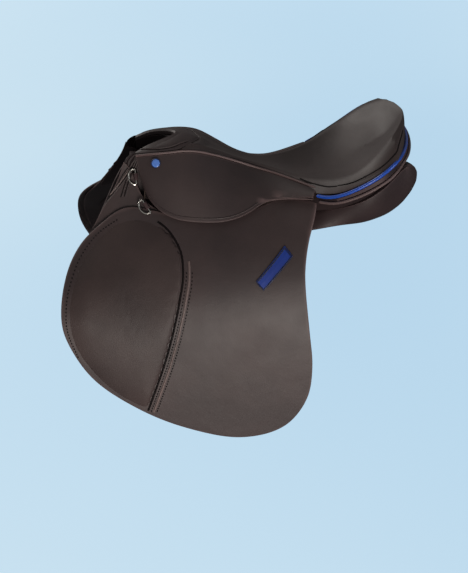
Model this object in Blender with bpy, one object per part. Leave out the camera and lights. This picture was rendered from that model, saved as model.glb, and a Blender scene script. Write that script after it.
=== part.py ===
"""Jumping saddle with cut-back head, two-layer flaps and a padded knee area.

Frame: +X runs from the pommel to the cantle, -Y is the near (left) side, +Z is up.
The origin is on the midline, level with the lowest part of the panels.
All sizes below are in millimetres; MM turns them into metres when a mesh is made.
A place on the side of the saddle is (x, out, z), with out measured from the midline.
"""
import math

import bmesh
import bpy
import numpy as np
from mathutils import Matrix, Vector, geometry

MM = 0.001
FLIP_Y = np.array([1, -1, 1])
GAP = 0.3
LATTICE = 27.0
EDGE_STEP = 19.0
FACET_ROOM = 0.7
SIDES = {"left": -1.0, "right": 1.0}

# Seat: stations from the head to the back of the cantle.
# Each has the midline point, the rim crest, the lower seam of the cover,
# and the heights of the foam's base at the midline and under the rim.
SEAT_STATIONS = [
    ((-66, 0, 142.0), (-80, 26, 145.4), (-100, 45.4, 142.3), (126, 130)),
    ((-46, 0, 130.5), (-57, 24, 137.0), (-72, 41, 139.3), (115, 120)),
    ((-22, 0, 118.0), (-30, 16, 123.5), (-40, 29, 125.8), (103, 108)),
    ((0, 0, 108.5), (-4, 12, 111.0), (-8, 19, 110.8), (94, 96)),
    ((28, 0, 100.5), (28, 14, 101.0), (28, 21, 98.6), (86, 86)),
    ((56, 0, 95.0), (56, 26, 97.5), (56, 33, 94.6), (80, 80)),
    ((85, 0, 89.0), (87, 45, 95.0), (88, 57, 92.5), (75, 79)),
    ((110, 0, 87.0), (118, 69, 98.0), (121, 87, 91.5), (73, 82)),
    ((134, 0, 88.5), (152, 90, 108.0), (155, 117, 100.0), (75, 91)),
    ((156, 0, 94.0), (185, 101, 127.0), (188, 130, 115.0), (80, 109)),
    ((176, 0, 101.5), (212, 97, 152.0), (218, 134, 135.0), (87, 125)),
    ((192, 0, 110.0), (238, 72, 175.0), (244.2, 119.1, 153.2), (96, 138)),
    ((203, 0, 117.0), (257, 36, 185.0), (262, 62, 159.5), (103, 140)),
    ((208, 0, 121.0), (267, 0, 187.0), (270, 0, 161.0), (107, 140)),
]
COVER_THICKNESS = 2.5
SEAT_CROWN = 0.35
FOAM_SHELF = 0.7
FOAM_INSET = 0.93
SEAT_ROWS = 27
SEAT_COLUMNS = 17

# Pommel facing: edge of the cut-back notch; its outer seam runs on into the seam of the cover.
NOTCH_EDGE = [(-176, 34, 133), (-154, 29, 144), (-132, 21, 150), (-116, 12, 153), (-107, 0, 154)]
FACING_SEAM = [(-174, 38, 131.5), (-160, 43, 135.5), (-142, 46, 138.5), (-122, 46.5, 140.6)]
FACING_JOIN = 1.5
FACING_THICKNESS = 3.0
FACING_ROLL = 9.0
FACING_CROWN = 1.2
FACING_TURN = 3.4
FACING_TUCK = 4.0
WELT_RADIUS = 2.2

# Skirt: the seam line above it and its free lower edge.
SEAM_LINE = [(-174, 38.5, 131), (-158, 44, 135), (-140, 47, 138), (-118, 48, 140), (-100, 46, 141.5),
             (-72, 42, 138.6), (-40, 30, 125.2), (-8, 20, 110.2), (28, 22, 98.0), (56, 34, 94.0),
             (88, 58, 91.9), (121, 88, 90.9)]
SKIRT_EDGE = [(-163, 68, 86), (-153, 84, 70), (-136, 98, 56), (-112, 110, 47.5), (-84, 117, 45),
              (-50, 121, 45), (-22, 119, 47), (4, 111, 53), (25, 100, 62), (46, 88, 67),
              (80, 96, 73), (113, 110, 77.5)]
SKIRT_THICKNESS = 4.5
SKIRT_BULGE = 4.0
FOLD_GAP = 1.0
SKIRT_ROWS = 22
SIDE_COLUMNS = 4
SKIRT_COLUMNS = 5
FOLD_FRONT = (-160, 68, 108)
FOLD_REAR = (112, 116, 86)
HINGE_OUT = 8.0

# Side surface: half width of the outer face of the flap at heights z, at five stations.
SIDE_STATIONS = {
    -260: [(130, 42), (80, 56), (50, 72), (20, 94), (-20, 134), (-60, 173), (-100, 195), (-200, 213),
           (-340, 222)],
    -140: [(130, 44), (90, 62), (55, 84), (45, 91), (20, 112), (-20, 148), (-60, 179), (-100, 197),
           (-200, 213), (-340, 222)],
    -30: [(75, 66), (55, 89), (36, 108), (20, 126), (0, 147), (-50, 182), (-100, 200), (-200, 214),
          (-340, 223)],
    50: [(82, 60), (66, 79), (50, 101), (25, 135), (0, 160), (-50, 190), (-100, 205), (-200, 216),
         (-340, 223)],
    120: [(90, 84), (74, 105), (50, 133), (0, 172), (-50, 197), (-100, 208), (-200, 217), (-340, 223)],
}
FLAP_THICKNESS = 4.5
FLAP_OUTLINE = [(-206, 50), (-241, 26), (-268, 5), (-291, -30), (-301, -80), (-293, -130), (-249, -204),
                (-170, -266), (-92, -303), (-8, -322), (65, -303), (105, -247), (113, -181),
                (107, -119), (99, -40), (100, 17), (105, 42), (113, 64), (111, 72), (80, 70),
                (50, 64), (20, 54), (-10, 47), (-50, 44), (-100, 44), (-150, 52), (-185, 56)]
PAD_OUTLINE = [(-196, 39), (-230, 20), (-256, -4), (-277, -35), (-287, -80), (-280, -125), (-240, -192),
               (-196, -231), (-172, -248), (-158, -220), (-143, -179), (-128, -132), (-117, -92),
               (-108, -59), (-103, -32), (-104, -5), (-109, 10), (-120, 24), (-140, 36), (-166, 42)]
PAD_THICKNESS = 6.0
PAD_EDGE = 1.2
PAD_ROUND = 34.0
PAD_SEAT = 0.8
PLATE_CENTRE = (49, -16)
PLATE_LENGTH = 69.0
PLATE_WIDTH = 17.0
PLATE_THICKNESS = 1.6
PLATE_ANGLE = 46.0

# Under the flap: girth straps, their guard and the sweat flap.
STRAP_WIDTH = 25.0
STRAP_THICKNESS = 4.0
STRAP_STATIONS = {"front": -44.0, "middle": -4.0, "rear": 36.0}
STRAP_TOP = 30.0
STRAP_BOTTOM = -270.0
STRAP_PLAY = 0.9
STRAP_MARGIN = 12.0
STRAP_FADE = 45.0
GUARD_THICKNESS = 1.4
GUARD_OUTLINE = [(-60, -140), (50, -140), (52, -185), (48, -230), (-57, -230), (-62, -185)]
GUARD_PLAY = 2.5
SWEAT_THICKNESS = 3.0
SWEAT_OUTLINE = [(-184, 112), (-193, 124), (-199, 108), (-211, 84), (-228, 58), (-254, 18), (-276, -12),
                 (-286, -45), (-288, -85), (-276, -130), (-236, -192), (-160, -244), (-90, -274),
                 (-10, -288), (50, -272), (84, -225), (92, -170), (86, -110), (80, -40), (80, 10),
                 (86, 40), (84, 56), (50, 52), (10, 42), (-30, 36), (-80, 40), (-120, 48), (-150, 56),
                 (-168, 74)]
KNEE_BLOCK = (-196, -95)
KNEE_BLOCK_SIZE = (58, 92)
KNEE_BLOCK_DEPTH = 13.0
KNEE_ROOM = 1.55
THIGH_BLOCK = (69, -150)
THIGH_BLOCK_SIZE = (14, 60)
THIGH_BLOCK_DEPTH = 2.5
THIGH_ROOM = (3.4, 1.5)
BLOCK_SEAT = 0.8
BLOCK_EDGE = 1.2
WING_SEAT = 0.8
WING_THICKNESS = 9.0
WING_EDGE = 1.5
WING_ROUND = 27.0
WING_OUTLINE = [(-196, 10), (-232, -14), (-256, -46), (-260, -85), (-248, -120), (-214, -160), (-150, -196),
                (-80, -214), (0, -212), (50, -190), (70, -150), (66, -90), (62, -40), (58, -10),
                (20, -20), (-40, -24), (-100, -16), (-150, -4)]

# Cantle: blue piping under the seat and the welt on the panel's upper edge, from front to midline.
PIPING_LINE = [(122, 106, 83), (136, 118, 85.5), (156, 128, 93), (186, 137.5, 111), (216, 140.5, 131.5),
               (233, 135.3, 143.5), (248, 120.5, 151), (263, 87, 154.5), (272.5, 45.5, 155), (275.5, 0, 155)]
CANTLE_LINE = [(126, 111, 74.5), (139, 120.5, 76), (157, 129, 81.5), (187, 138.5, 97), (217, 143, 116.5),
               (239.5, 134, 129.5), (256, 112, 140), (269, 85.5, 143.5), (278.5, 46, 144), (282.5, 0, 143.5)]
PIPING_RADIUS = 3.0
CANTLE_WELT_RADIUS = 2.8
BAND_THICKNESS = 3.0

# Panel: stations with the four corners of its section (gullet top, outer top, outer foot, gullet foot).
PANEL_STATIONS = [
    (-244, (74, 25), (78, 24), (84, 17), (80, 15)),
    (-226, (52, 58), (56, 56), (72, 33), (64, 27)),
    (-206, (33, 98), (37, 96), (60, 50), (50, 40)),
    (-190, (26, 118), (31, 114), (56, 50), (46, 37)),
    (-165, (24, 106), (30, 104), (54, 44), (44, 28)),
    (-120, (28, 84), (35, 84), (70, 34), (46, 14)),
    (-60, (34, 70), (50, 63), (84, 26), (42, 4)),
    (0, (36, 50), (62, 46), (98, 6), (38, 0)),
    (60, (36, 44), (66, 40), (102, 10), (38, 0)),
    (120, (36, 50), (84, 48), (112, 22), (38, 6)),
    (160, (36, 60), (110, 64), (112, 30), (38, 14)),
    (200, (38, 78), (130, 90), (111, 34), (40, 22)),
    (235, (40, 97), (128, 117), (108, 45), (44, 34)),
    (260, (42, 109), (104, 134), (104, 62), (50, 52)),
    (278, (50, 116), (88, 128), (98, 84), (60, 76)),
    (287, (62, 112), (84, 114), (86, 97), (66, 95)),
]
PANEL_SIDE_CROWN = 7.0
PANEL_GUSSET_START = 110.0
PANEL_FOOT_CROWN = 8.0
PANEL_FULL_SIDE = 60.0

# Tree: middle line of the rails and cantle, and of the head arch, on one side.
RAIL_LINE = [(-119, 46, 107.8), (-95, 46, 103.5), (-60, 45, 94), (-20, 47, 75), (20, 51, 65),
             (60, 58, 61), (100, 69, 64), (140, 84, 74), (180, 94, 93), (212, 92, 109),
             (232, 76, 120), (247, 42, 127.6), (251, 0, 127.6)]
RAIL_WIDTH = 27.0
RAIL_THICKNESS = 11.0
RAIL_RINGS = 35
RAIL_TILT = 28.0
RAIL_LEVEL_FROM = 170.0
RAIL_TILT_REACH = 120.0
ARCH_LINE = [(-150, 69, 64), (-148, 59, 82), (-141, 47, 103), (-130, 33, 121), (-119, 17, 132),
             (-116, 0, 135)]
ARCH_WIDTH = 24.0
ARCH_THICKNESS = 8.0
ARCH_CENTRE_DROP = 10.0
HEAD_PLATE_THICKNESS = 2.5
HEAD_PLATE_WIDTH = 20.0
PLATE_PLAY = 0.8

# Stirrup bar: hairpin of forged steel, with a safety catch at its open end.
BAR_LINE = [(-68, 65, 85.5), (-102, 65, 84.5), (-126, 66, 83.5), (-135, 71, 77.5), (-133, 79, 69.5),
            (-120, 83, 66.5), (-78, 85, 65.5)]
BAR_WIDTH = 9.0
BAR_THICKNESS = 5.0
CATCH_LENGTH = 13.0
CATCH_CHEEK = 1.6
CATCH_PLAY = 0.8
CATCH_GRIP = 5.0
CATCH_ROOM = 3.4
CATCH_HEIGHT = 7.0

# Dee rings: middle of the straight side, its direction and the way the ring reaches.
DEES = {
    "upper": ((-174.8, 54.6, 98.0), (0.05, 0.52, -0.85), (-1.0, 0.15, 0.0)),
    "lower": ((-158, 84.7, 59.3), (0.55, 0.50, -0.67), (-0.75, 0.30, -0.55)),
}
DEE_WIDTH = 26.0
DEE_REACH = 12.0
DEE_WIRE = 3.0
DEE_NECK = 2.2
KEEPER_PLAY = 0.5
KEEPER_WALL = 1.8
KEEPER_LENGTH = 12.0
STUD_DIAMETER = 15.0
STUD_HEIGHT = 2.6
STUD_SIDES = 18
STUD_SHARE = (0.175, 0.15)
WEB_THICKNESS = 2.0
WEB_COLUMNS = 3
WEB_DROP = (30.6, 42.0, 56.0)
WEB_OVERHANG = 2.0
BRIDGE_THICKNESS = 3.0

# Leather strips over the gullet: place along it, width, height and reach to each side.
BRIDGES = {"front": (-178, 18, 108, 23.5), "rear": (262, 20, 104, 41.2)}
BRIDGE_CROWN = 3.0


def clear_scene():
    """Remove every object of the start-up file."""
    for obj in list(bpy.data.objects):
        bpy.data.objects.remove(obj, do_unlink=True)


def smooth(table, at):
    """Value at a place of a table of (place, value) pairs, without overshoot."""
    pairs = sorted(table)
    place = [p for p, _ in pairs]
    value = [v for _, v in pairs]
    rise = [(value[i + 1] - value[i]) / (place[i + 1] - place[i]) for i in range(len(pairs) - 1)]
    if at <= place[0]:
        return value[0] + rise[0] * (at - place[0])
    if at >= place[-1]:
        return value[-1] + rise[-1] * (at - place[-1])
    i = max(k for k in range(len(pairs) - 1) if place[k] <= at)

    def slope(k):
        if k == 0 or k == len(pairs) - 1:
            return rise[min(k, len(rise) - 1)]
        before, after = rise[k - 1], rise[k]
        return 0.0 if before * after <= 0 else 2 * before * after / (before + after)

    step = place[i + 1] - place[i]
    t = (at - place[i]) / step
    start, end = value[i], value[i + 1]
    return (start * (1 + 2 * t) * (1 - t) ** 2 + slope(i) * step * t * (1 - t) ** 2
            + end * t * t * (3 - 2 * t) + slope(i + 1) * step * t * t * (t - 1))


def spline(points, count, closed=False):
    """Evenly spread points on a smooth curve through the given points."""
    pts = [np.array(p, dtype=float) for p in points]
    total = len(pts) if closed else len(pts) - 1

    def knot(k):
        return pts[k % len(pts)] if closed else pts[min(max(k, 0), len(pts) - 1)]

    dense = []
    for k in range(total):
        a, b, c, d = knot(k - 1), knot(k), knot(k + 1), knot(k + 2)
        if not closed and k == 0:
            a = 2 * b - c
        if not closed and k == total - 1:
            d = 2 * c - b
        for step in range(12):
            t = step / 12
            dense.append(0.5 * (2 * b + (c - a) * t + (2 * a - 5 * b + 4 * c - d) * t * t
                                + (3 * b - a - 3 * c + d) * t ** 3))
    dense.append(pts[0] if closed else pts[-1])
    dense = np.array(dense)
    length = np.concatenate([[0], np.cumsum(np.linalg.norm(np.diff(dense, axis=0), axis=1))])
    spots = np.linspace(0, length[-1], count + 1)[:-1] if closed else np.linspace(0, length[-1], count)
    return np.stack([np.interp(spots, length, dense[:, k]) for k in range(dense.shape[1])], axis=1)


def curve_at(points, share):
    """Point of a smooth curve whose given points are spread evenly over 0 to 1."""
    pts = [np.array(p, dtype=float) for p in points]
    place = min(max(share, 0.0), 1.0) * (len(pts) - 1)
    k = min(int(place), len(pts) - 2)
    t = place - k
    step = np.linalg.norm(pts[k + 1] - pts[k])

    def leaving(i):
        way = pts[min(i + 1, len(pts) - 1)] - pts[max(i - 1, 0)]
        return way / max(np.linalg.norm(way), GAP) * step

    return (pts[k] * (1 + 2 * t) * (1 - t) ** 2 + leaving(k) * t * (1 - t) ** 2
            + pts[k + 1] * t * t * (3 - 2 * t) + leaving(k + 1) * t * t * (t - 1))


def material(name, colour, roughness, metallic=0.0):
    """Plain Principled material of one node."""
    mat = bpy.data.materials.new(name)
    mat.use_nodes = True
    shader = mat.node_tree.nodes["Principled BSDF"]
    shader.inputs["Base Color"].default_value = (*colour, 1.0)
    shader.inputs["Roughness"].default_value = roughness
    shader.inputs["Metallic"].default_value = metallic
    mat.diffuse_color = (*colour, 1.0)
    return mat


def leather(name):
    return material(name, (0.052, 0.036, 0.034), 0.48)


def lining_leather(name):
    return material(name, (0.040, 0.029, 0.027), 0.6)


def blue_lacquer(name):
    return material(name, (0.012, 0.075, 0.52), 0.25)


def nickel(name):
    return material(name, (0.70, 0.69, 0.67), 0.25, 1.0)


def steel(name):
    return material(name, (0.35, 0.35, 0.36), 0.4, 1.0)


def wood(name):
    return material(name, (0.42, 0.27, 0.14), 0.6)


def foam(name):
    return material(name, (0.55, 0.50, 0.38), 0.9)


def webbing(name):
    return material(name, (0.30, 0.27, 0.21), 0.85)


def make_node(name, points, faces, paint, side=1.0):
    """One closed body from points in mm; side -1 mirrors it to the near side."""
    mesh = bpy.data.meshes.new(name)
    scale = np.array([MM, side * MM, MM])
    mesh.from_pydata([tuple(np.asarray(p) * scale) for p in points], [], faces)
    mesh.validate()
    bm = bmesh.new()
    bm.from_mesh(mesh)
    bmesh.ops.remove_doubles(bm, verts=bm.verts, dist=0.00001)
    bmesh.ops.recalc_face_normals(bm, faces=bm.faces)
    if bm.calc_volume(signed=True) < 0:
        bmesh.ops.reverse_faces(bm, faces=bm.faces)
    bm.to_mesh(mesh)
    bm.free()
    obj = bpy.data.objects.new(name, mesh)
    bpy.context.collection.objects.link(obj)
    obj.data.materials.append(paint(name))
    return obj


def grid_normals(grid):
    """Unit normals of a grid of points, by differences along both ways."""
    along = np.gradient(grid, axis=0)
    across = np.gradient(grid, axis=1)
    normal = np.cross(along, across)
    size = np.linalg.norm(normal, axis=2, keepdims=True)
    return normal / np.maximum(size, 1e-9)


def close_grids(name, outer, inner, paint, side=1.0, joined_end=False):
    """Closed body between two grids of the same shape; a joined end is folded onto itself."""
    rows, cols = outer.shape[:2]
    points = list(outer.reshape(-1, 3)) + list(inner.reshape(-1, 3))
    half = rows * cols

    def at(i, j, layer):
        return i * cols + j + layer * half

    faces = []
    for i in range(rows - 1):
        for j in range(cols - 1):
            faces.append((at(i, j, 0), at(i + 1, j, 0), at(i + 1, j + 1, 0), at(i, j + 1, 0)))
            faces.append((at(i, j, 1), at(i, j + 1, 1), at(i + 1, j + 1, 1), at(i + 1, j, 1)))
    ring = [(i, 0) for i in range(rows)] + [(rows - 1, j) for j in range(1, cols)]
    ring += [(i, cols - 1) for i in range(rows - 2, -1, -1)] + [(0, j) for j in range(cols - 2, 0, -1)]
    for k, (i, j) in enumerate(ring):
        m, n = ring[(k + 1) % len(ring)]
        if joined_end and i == m == rows - 1:
            continue
        faces.append((at(i, j, 0), at(i, j, 1), at(m, n, 1), at(m, n, 0)))
    return make_node(name, points, faces, paint, side)


def half_width(x, z):
    """Half width of the outer face of the flap at a place on the side."""
    return smooth([(station, smooth(table, z)) for station, table in SIDE_STATIONS.items()], x)


def side_point(x, z, lift):
    """Point at a height above (+) or below (-) the outer face of the flap."""
    step = 1.0
    out = half_width(x, z)
    normal = np.array([-(half_width(x + step, z) - half_width(x - step, z)) / (2 * step), 1.0,
                       -(half_width(x, z + step) - half_width(x, z - step)) / (2 * step)])
    return np.array([x, out, z]) + normal / np.linalg.norm(normal) * lift


def bump(x, z, centre, size):
    """Smooth hump, 1 at its centre and 0 outside its size."""
    reach = math.hypot((x - centre[0]) / size[0], (z - centre[1]) / size[1])
    return 0.0 if reach >= 1 else (1 + math.cos(math.pi * reach)) / 2


def strap_level():
    """Depth of the outer face of the girth straps below the face of the flap."""
    return FLAP_THICKNESS + GUARD_PLAY + GUARD_THICKNESS + STRAP_PLAY


def strap_room(x):
    """1 where the girth straps hang, 0 ahead of them and behind them."""
    ahead = min(STRAP_STATIONS.values()) - STRAP_WIDTH / 2 - STRAP_MARGIN
    behind = max(STRAP_STATIONS.values()) + STRAP_WIDTH / 2 + STRAP_MARGIN
    far = max(ahead - x, x - behind, 0.0) / STRAP_FADE
    return 0.0 if far >= 1 else (1 + math.cos(math.pi * far)) / 2


def sweat_level(x, z):
    """Depth of the outer face of the sweat flap below the face of the flap."""
    close = FLAP_THICKNESS + STRAP_PLAY
    deep = strap_level() + STRAP_THICKNESS + STRAP_PLAY
    knee_room = tuple(KNEE_ROOM * s for s in KNEE_BLOCK_SIZE)
    thigh_room = tuple(k * s for k, s in zip(THIGH_ROOM, THIGH_BLOCK_SIZE))
    return (close + (deep - close) * strap_room(x) + KNEE_BLOCK_DEPTH * bump(x, z, KNEE_BLOCK, knee_room)
            + THIGH_BLOCK_DEPTH * bump(x, z, THIGH_BLOCK, thigh_room))


def inside(outline, spots):
    """Which spots lie inside a closed outline."""
    a, b = outline, np.roll(outline, -1, axis=0)
    hits = np.zeros(len(spots), dtype=int)
    for (ax, az), (bx, bz) in zip(a, b):
        if az == bz:
            continue
        crosses = (spots[:, 1] > az) != (spots[:, 1] > bz)
        hits += crosses & (spots[:, 0] < ax + (spots[:, 1] - az) * (bx - ax) / (bz - az))
    return hits % 2 == 1


def edge_distance(outline, spots):
    """Distance of each spot from a closed outline."""
    a, b = outline, np.roll(outline, -1, axis=0)
    along = b - a
    best = np.full(len(spots), 1e9)
    for start, way in zip(a, along):
        t = np.clip(((spots - start) @ way) / way.dot(way), 0, 1)
        best = np.minimum(best, np.linalg.norm(spots - start - t[:, None] * way, axis=1))
    return best


def side_sheet(name, outline, outer_level, inner_level, paint, side):
    """Closed sheet on the side surface, on one lattice that all such sheets share."""
    loop = spline(outline, max(12, round(outline_length(outline) / EDGE_STEP)), closed=True)
    rows = np.arange(-400, 200, LATTICE * math.sqrt(3) / 2)
    lattice = np.array([(x + (k % 2) * LATTICE / 2, z) for k, z in enumerate(rows)
                        for x in np.arange(-400, 300, LATTICE)])
    lattice = lattice[inside(loop, lattice)]
    lattice = lattice[edge_distance(loop, lattice) > 0.45 * EDGE_STEP]
    flat = [Vector(p) for p in loop] + [Vector(p) for p in lattice]
    edge = list(range(len(loop)))
    spots, _, triangles, _, _, _ = geometry.delaunay_2d_cdt(flat, [], [edge], 1, 1e-4)
    spots = np.array([tuple(p) for p in spots])
    rim = edge_distance(loop, spots)
    outer = [side_point(x, z, outer_level(x, z, d)) for (x, z), d in zip(spots, rim)]
    inner = [side_point(x, z, inner_level(x, z, d)) for (x, z), d in zip(spots, rim)]
    layer = len(outer)
    faces = [tuple(t) for t in triangles] + [tuple(layer + k for k in reversed(t)) for t in triangles]
    used = {}
    for t in triangles:
        for k in range(3):
            used[(t[k], t[(k + 1) % 3])] = True
    for a, b in used:
        if (b, a) not in used:
            faces.append((b, a, layer + a, layer + b))
    return make_node(name, outer + inner, faces, paint, side)


def outline_length(outline):
    pts = np.array(outline, dtype=float)
    return np.linalg.norm(pts - np.roll(pts, 1, axis=0), axis=1).sum()


def even(level):
    """Level of a sheet that keeps one height."""
    return lambda x, z, rim: level


def swell(rim, reach):
    """Rise of a padded face from 0 at its rim to 1 beyond a reach."""
    return 1 - (1 - min(rim / reach, 1.0)) ** 2.2


def edge_lift(rim):
    """Extra clearance near the rim of a sheet, where its facets differ from those below."""
    return FACET_ROOM * (1 - min(rim / LATTICE, 1.0))


def make_flap(tag, side):
    return side_sheet(f"flap_{tag}", FLAP_OUTLINE, even(0.0), even(-FLAP_THICKNESS), leather, side)


def make_knee_pad(tag, side):
    """Padded area at the front of the flap, with a crowned face and a thin edge."""
    def back(x, z, rim):
        return PAD_SEAT + edge_lift(rim)

    def face(x, z, rim):
        return back(x, z, rim) + PAD_EDGE + (PAD_THICKNESS - PAD_EDGE) * swell(rim, PAD_ROUND)
    return side_sheet(f"knee_pad_{tag}", PAD_OUTLINE, face, back, leather, side)


def make_name_plate(tag, side):
    """Bare plate that lies on the flap."""
    angle = math.radians(PLATE_ANGLE)
    rows = []
    for a in np.linspace(-PLATE_LENGTH / 2, PLATE_LENGTH / 2, 7):
        row = []
        for b in np.linspace(-PLATE_WIDTH / 2, PLATE_WIDTH / 2, 3):
            row.append((PLATE_CENTRE[0] + a * math.cos(angle) - b * math.sin(angle),
                        PLATE_CENTRE[1] + a * math.sin(angle) + b * math.cos(angle)))
        rows.append(row)
    outer = np.array([[side_point(x, z, GAP + PLATE_THICKNESS) for x, z in row] for row in rows])
    inner = np.array([[side_point(x, z, GAP) for x, z in row] for row in rows])
    return close_grids(f"name_plate_{tag}", outer, inner, blue_lacquer, side)


def make_strap(tag, side, place, x):
    """Girth strap that follows the side under the flap, with a tapered tip."""
    rows_out, rows_in = [], []
    for z in np.concatenate([np.linspace(STRAP_TOP, STRAP_BOTTOM + 20, 14), [STRAP_BOTTOM]]):
        half = STRAP_WIDTH / 2 if z > STRAP_BOTTOM else STRAP_WIDTH / 4
        rows_out.append([side_point(x + b, z, -strap_level()) for b in (-half, 0, half)])
        rows_in.append([side_point(x + b, z, -strap_level() - STRAP_THICKNESS) for b in (-half, 0, half)])
    return close_grids(f"girth_strap_{place}_{tag}", np.array(rows_out), np.array(rows_in), leather, side)


def make_guard(tag, side):
    level = FLAP_THICKNESS + GUARD_PLAY
    return side_sheet(f"buckle_guard_{tag}", GUARD_OUTLINE, even(-level),
                      even(-level - GUARD_THICKNESS), leather, side)


def make_sweat_flap(tag, side):
    def outer(x, z, rim):
        return -sweat_level(x, z)

    def inner(x, z, rim):
        return -sweat_level(x, z) - SWEAT_THICKNESS
    return side_sheet(f"sweat_flap_{tag}", SWEAT_OUTLINE, outer, inner, lining_leather, side)


def make_block(name, side, centre, size):
    """Shaped foam block on the sweat flap, thinner towards its edge."""
    outline = [(centre[0] + size[0] * math.cos(a), centre[1] + size[1] * math.sin(a))
               for a in np.linspace(0, 2 * math.pi, 12, endpoint=False)]

    def inner(x, z, rim):
        return -(sweat_level(x, z) - BLOCK_SEAT - edge_lift(rim))

    def outer(x, z, rim):
        thin = inner(x, z, rim) + BLOCK_EDGE
        full = -(FLAP_THICKNESS + BLOCK_SEAT)
        return min(full, thin + max(0.0, full - thin) * swell(rim, min(size)))
    return side_sheet(name, outline, outer, inner, leather, side)


def seat_row(share, columns, base=False):
    """Row of points over the seat from the near seam to the off seam, or of the foam's base."""
    mid = curve_at([s[0] for s in SEAT_STATIONS], share)
    crest = curve_at([s[1] for s in SEAT_STATIONS], share)
    seam = curve_at([s[2] for s in SEAT_STATIONS], share)
    low = mid * 0.5 + crest * 0.5
    low[2] = mid[2] + (crest[2] - mid[2]) * SEAT_CROWN
    shoulder = crest * 0.5 + seam * 0.5 + (crest - mid) * 0.02
    shoulder[2] += 0.18 * (crest[2] - seam[2])
    brow = low * 0.22 + crest * 0.78
    brow[2] = low[2] * 0.28 + crest[2] * 0.72
    half = [mid, low, brow, crest, shoulder, seam]
    if base:
        middle, rim = curve_at([(*s[3], 0) for s in SEAT_STATIONS], share)[:2]
        heights = [middle, middle + (rim - middle) * FOAM_SHELF, rim, rim, rim, rim]
        half = [np.array([*(mid + (p - mid) * FOAM_INSET)[:2], z]) for p, z in zip(half, heights)]
    row = []
    for j in range(columns):
        t = abs(j / (columns - 1) * 2 - 1)
        point = curve_at(half, t)
        point[1] *= -1 if j < columns // 2 else 1
        row.append(point)
    return row


def seat_net(rows, columns, base=False):
    """Grid of the seat's upper face, or of the base of its foam."""
    return np.array([seat_row(share, columns, base) for share in np.linspace(0, 1, rows)])


def upward(grid):
    """Normals of a grid that point up on the whole."""
    normal = grid_normals(grid)
    return normal if normal[..., 2].sum() > 0 else -normal


def make_seat():
    """Leather cover and the foam that it is drawn over."""
    net = seat_net(SEAT_ROWS, SEAT_COLUMNS)
    normal = upward(np.concatenate([net, net[-2:-1, ::-1]]))[:-1]
    cover_in = net - normal * COVER_THICKNESS
    cover_in[-1] = (cover_in[-1] + cover_in[-1, ::-1]) / 2
    close_grids("seat_cover", net, cover_in, leather, joined_end=True)
    top = net - normal * (COVER_THICKNESS + GAP)
    base = seat_net(SEAT_ROWS, SEAT_COLUMNS, base=True)
    close_grids("seat_foam", top[1:-2, 1:-1], base[1:-2, 1:-1], foam)
    strip = base[2:-4, SEAT_COLUMNS // 2 - 1:SEAT_COLUMNS // 2 + 2] - np.array([0, 0, GAP])
    close_grids("seat_web", strip, strip - np.array([0, 0, WEB_THICKNESS]), webbing)


def seam_offset(reach):
    """Step from the seam line down the side of the saddle."""
    return np.array([0, 0.87, -0.5]) * reach


def skirt_point(share, across):
    """Point of the outer face of the skirt: share along it, across 0 at the top seam to 1."""
    top = curve_at(SEAM_LINE, share) + seam_offset(2 * WELT_RADIUS + 3 * GAP)
    edge = curve_at(SKIRT_EDGE, share)
    chord = edge - top
    away = np.array([0, -chord[2], chord[1]])
    away = away / np.linalg.norm(away)
    return top + chord * across + away * SKIRT_BULGE * 4 * across * (1 - across)


def fold_share(share):
    """Place across the skirt that lies nearest the line that it folds about."""
    front, rear = np.array(FOLD_FRONT, float), np.array(FOLD_REAR, float)
    way = (rear - front) / np.linalg.norm(rear - front)
    best = (1e9, 0)
    for across in np.linspace(0.05, 0.95, 91):
        offset = skirt_point(share, across) - front
        best = min(best, (np.linalg.norm(offset - way * offset.dot(way)), across))
    return best[1]


def skirt_normal(share, across):
    """Unit normal of the skirt's outer face."""
    step = 0.01
    along = skirt_point(min(share + step, 1), across) - skirt_point(max(share - step, 0), across)
    down = skirt_point(share, across + step) - skirt_point(share, across - step)
    normal = np.cross(along, down)
    return normal / np.linalg.norm(normal) * (1 if normal[1] + normal[2] > 0 else -1)


def skirt_sheet(name, columns, lower, side):
    """Sheet of the moving part (lower) or the fixed part of the skirt."""
    shares = np.linspace(0, 1, SKIRT_ROWS)
    folds = np.array([fold_share(s) for s in shares])
    even_out = np.convolve(np.pad(folds, 2, mode="edge"), np.ones(5) / 5, mode="valid")
    outer, inner = [], []
    for share, fold in zip(shares, even_out):
        across = np.linalg.norm(skirt_point(share, 1.0) - skirt_point(share, 0.0))
        start, end = (fold, 1.0) if lower else (0.0, fold - FOLD_GAP / across)
        spots = np.linspace(start, end, columns)
        outer.append([skirt_point(share, a) for a in spots])
        inner.append([skirt_point(share, a) - skirt_normal(share, a) * SKIRT_THICKNESS for a in spots])
    return close_grids(name, np.array(outer), np.array(inner), leather, side)


def make_skirt(tag, side):
    """Lifting skirt and the fixed leather between its fold and the seat."""
    skirt_sheet(f"seat_side_{tag}", SIDE_COLUMNS, False, side)
    return skirt_sheet(f"skirt_{tag}", SKIRT_COLUMNS, True, side)


def frames(path, up):
    """Tangent, width and up directions along a path, from an up direction at each point."""
    tangent = np.gradient(path, axis=0)
    tangent /= np.linalg.norm(tangent, axis=1, keepdims=True)
    width = np.cross(tangent, up)
    width /= np.linalg.norm(width, axis=1, keepdims=True)
    return tangent, width, np.cross(width, tangent)


def bridge(loops, closed_path):
    """Points and faces of a skin over loops with the same number of points."""
    count = len(loops[0])
    points = [p for loop in loops for p in loop]
    faces = []
    for i in range(len(loops) if closed_path else len(loops) - 1):
        n = (i + 1) % len(loops)
        for k in range(count):
            m = (k + 1) % count
            faces.append((i * count + k, i * count + m, n * count + m, n * count + k))
    if not closed_path:
        faces.append(tuple(range(count)))
        faces.append(tuple(range((len(loops) - 1) * count, len(loops) * count)))
    return points, faces


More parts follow.
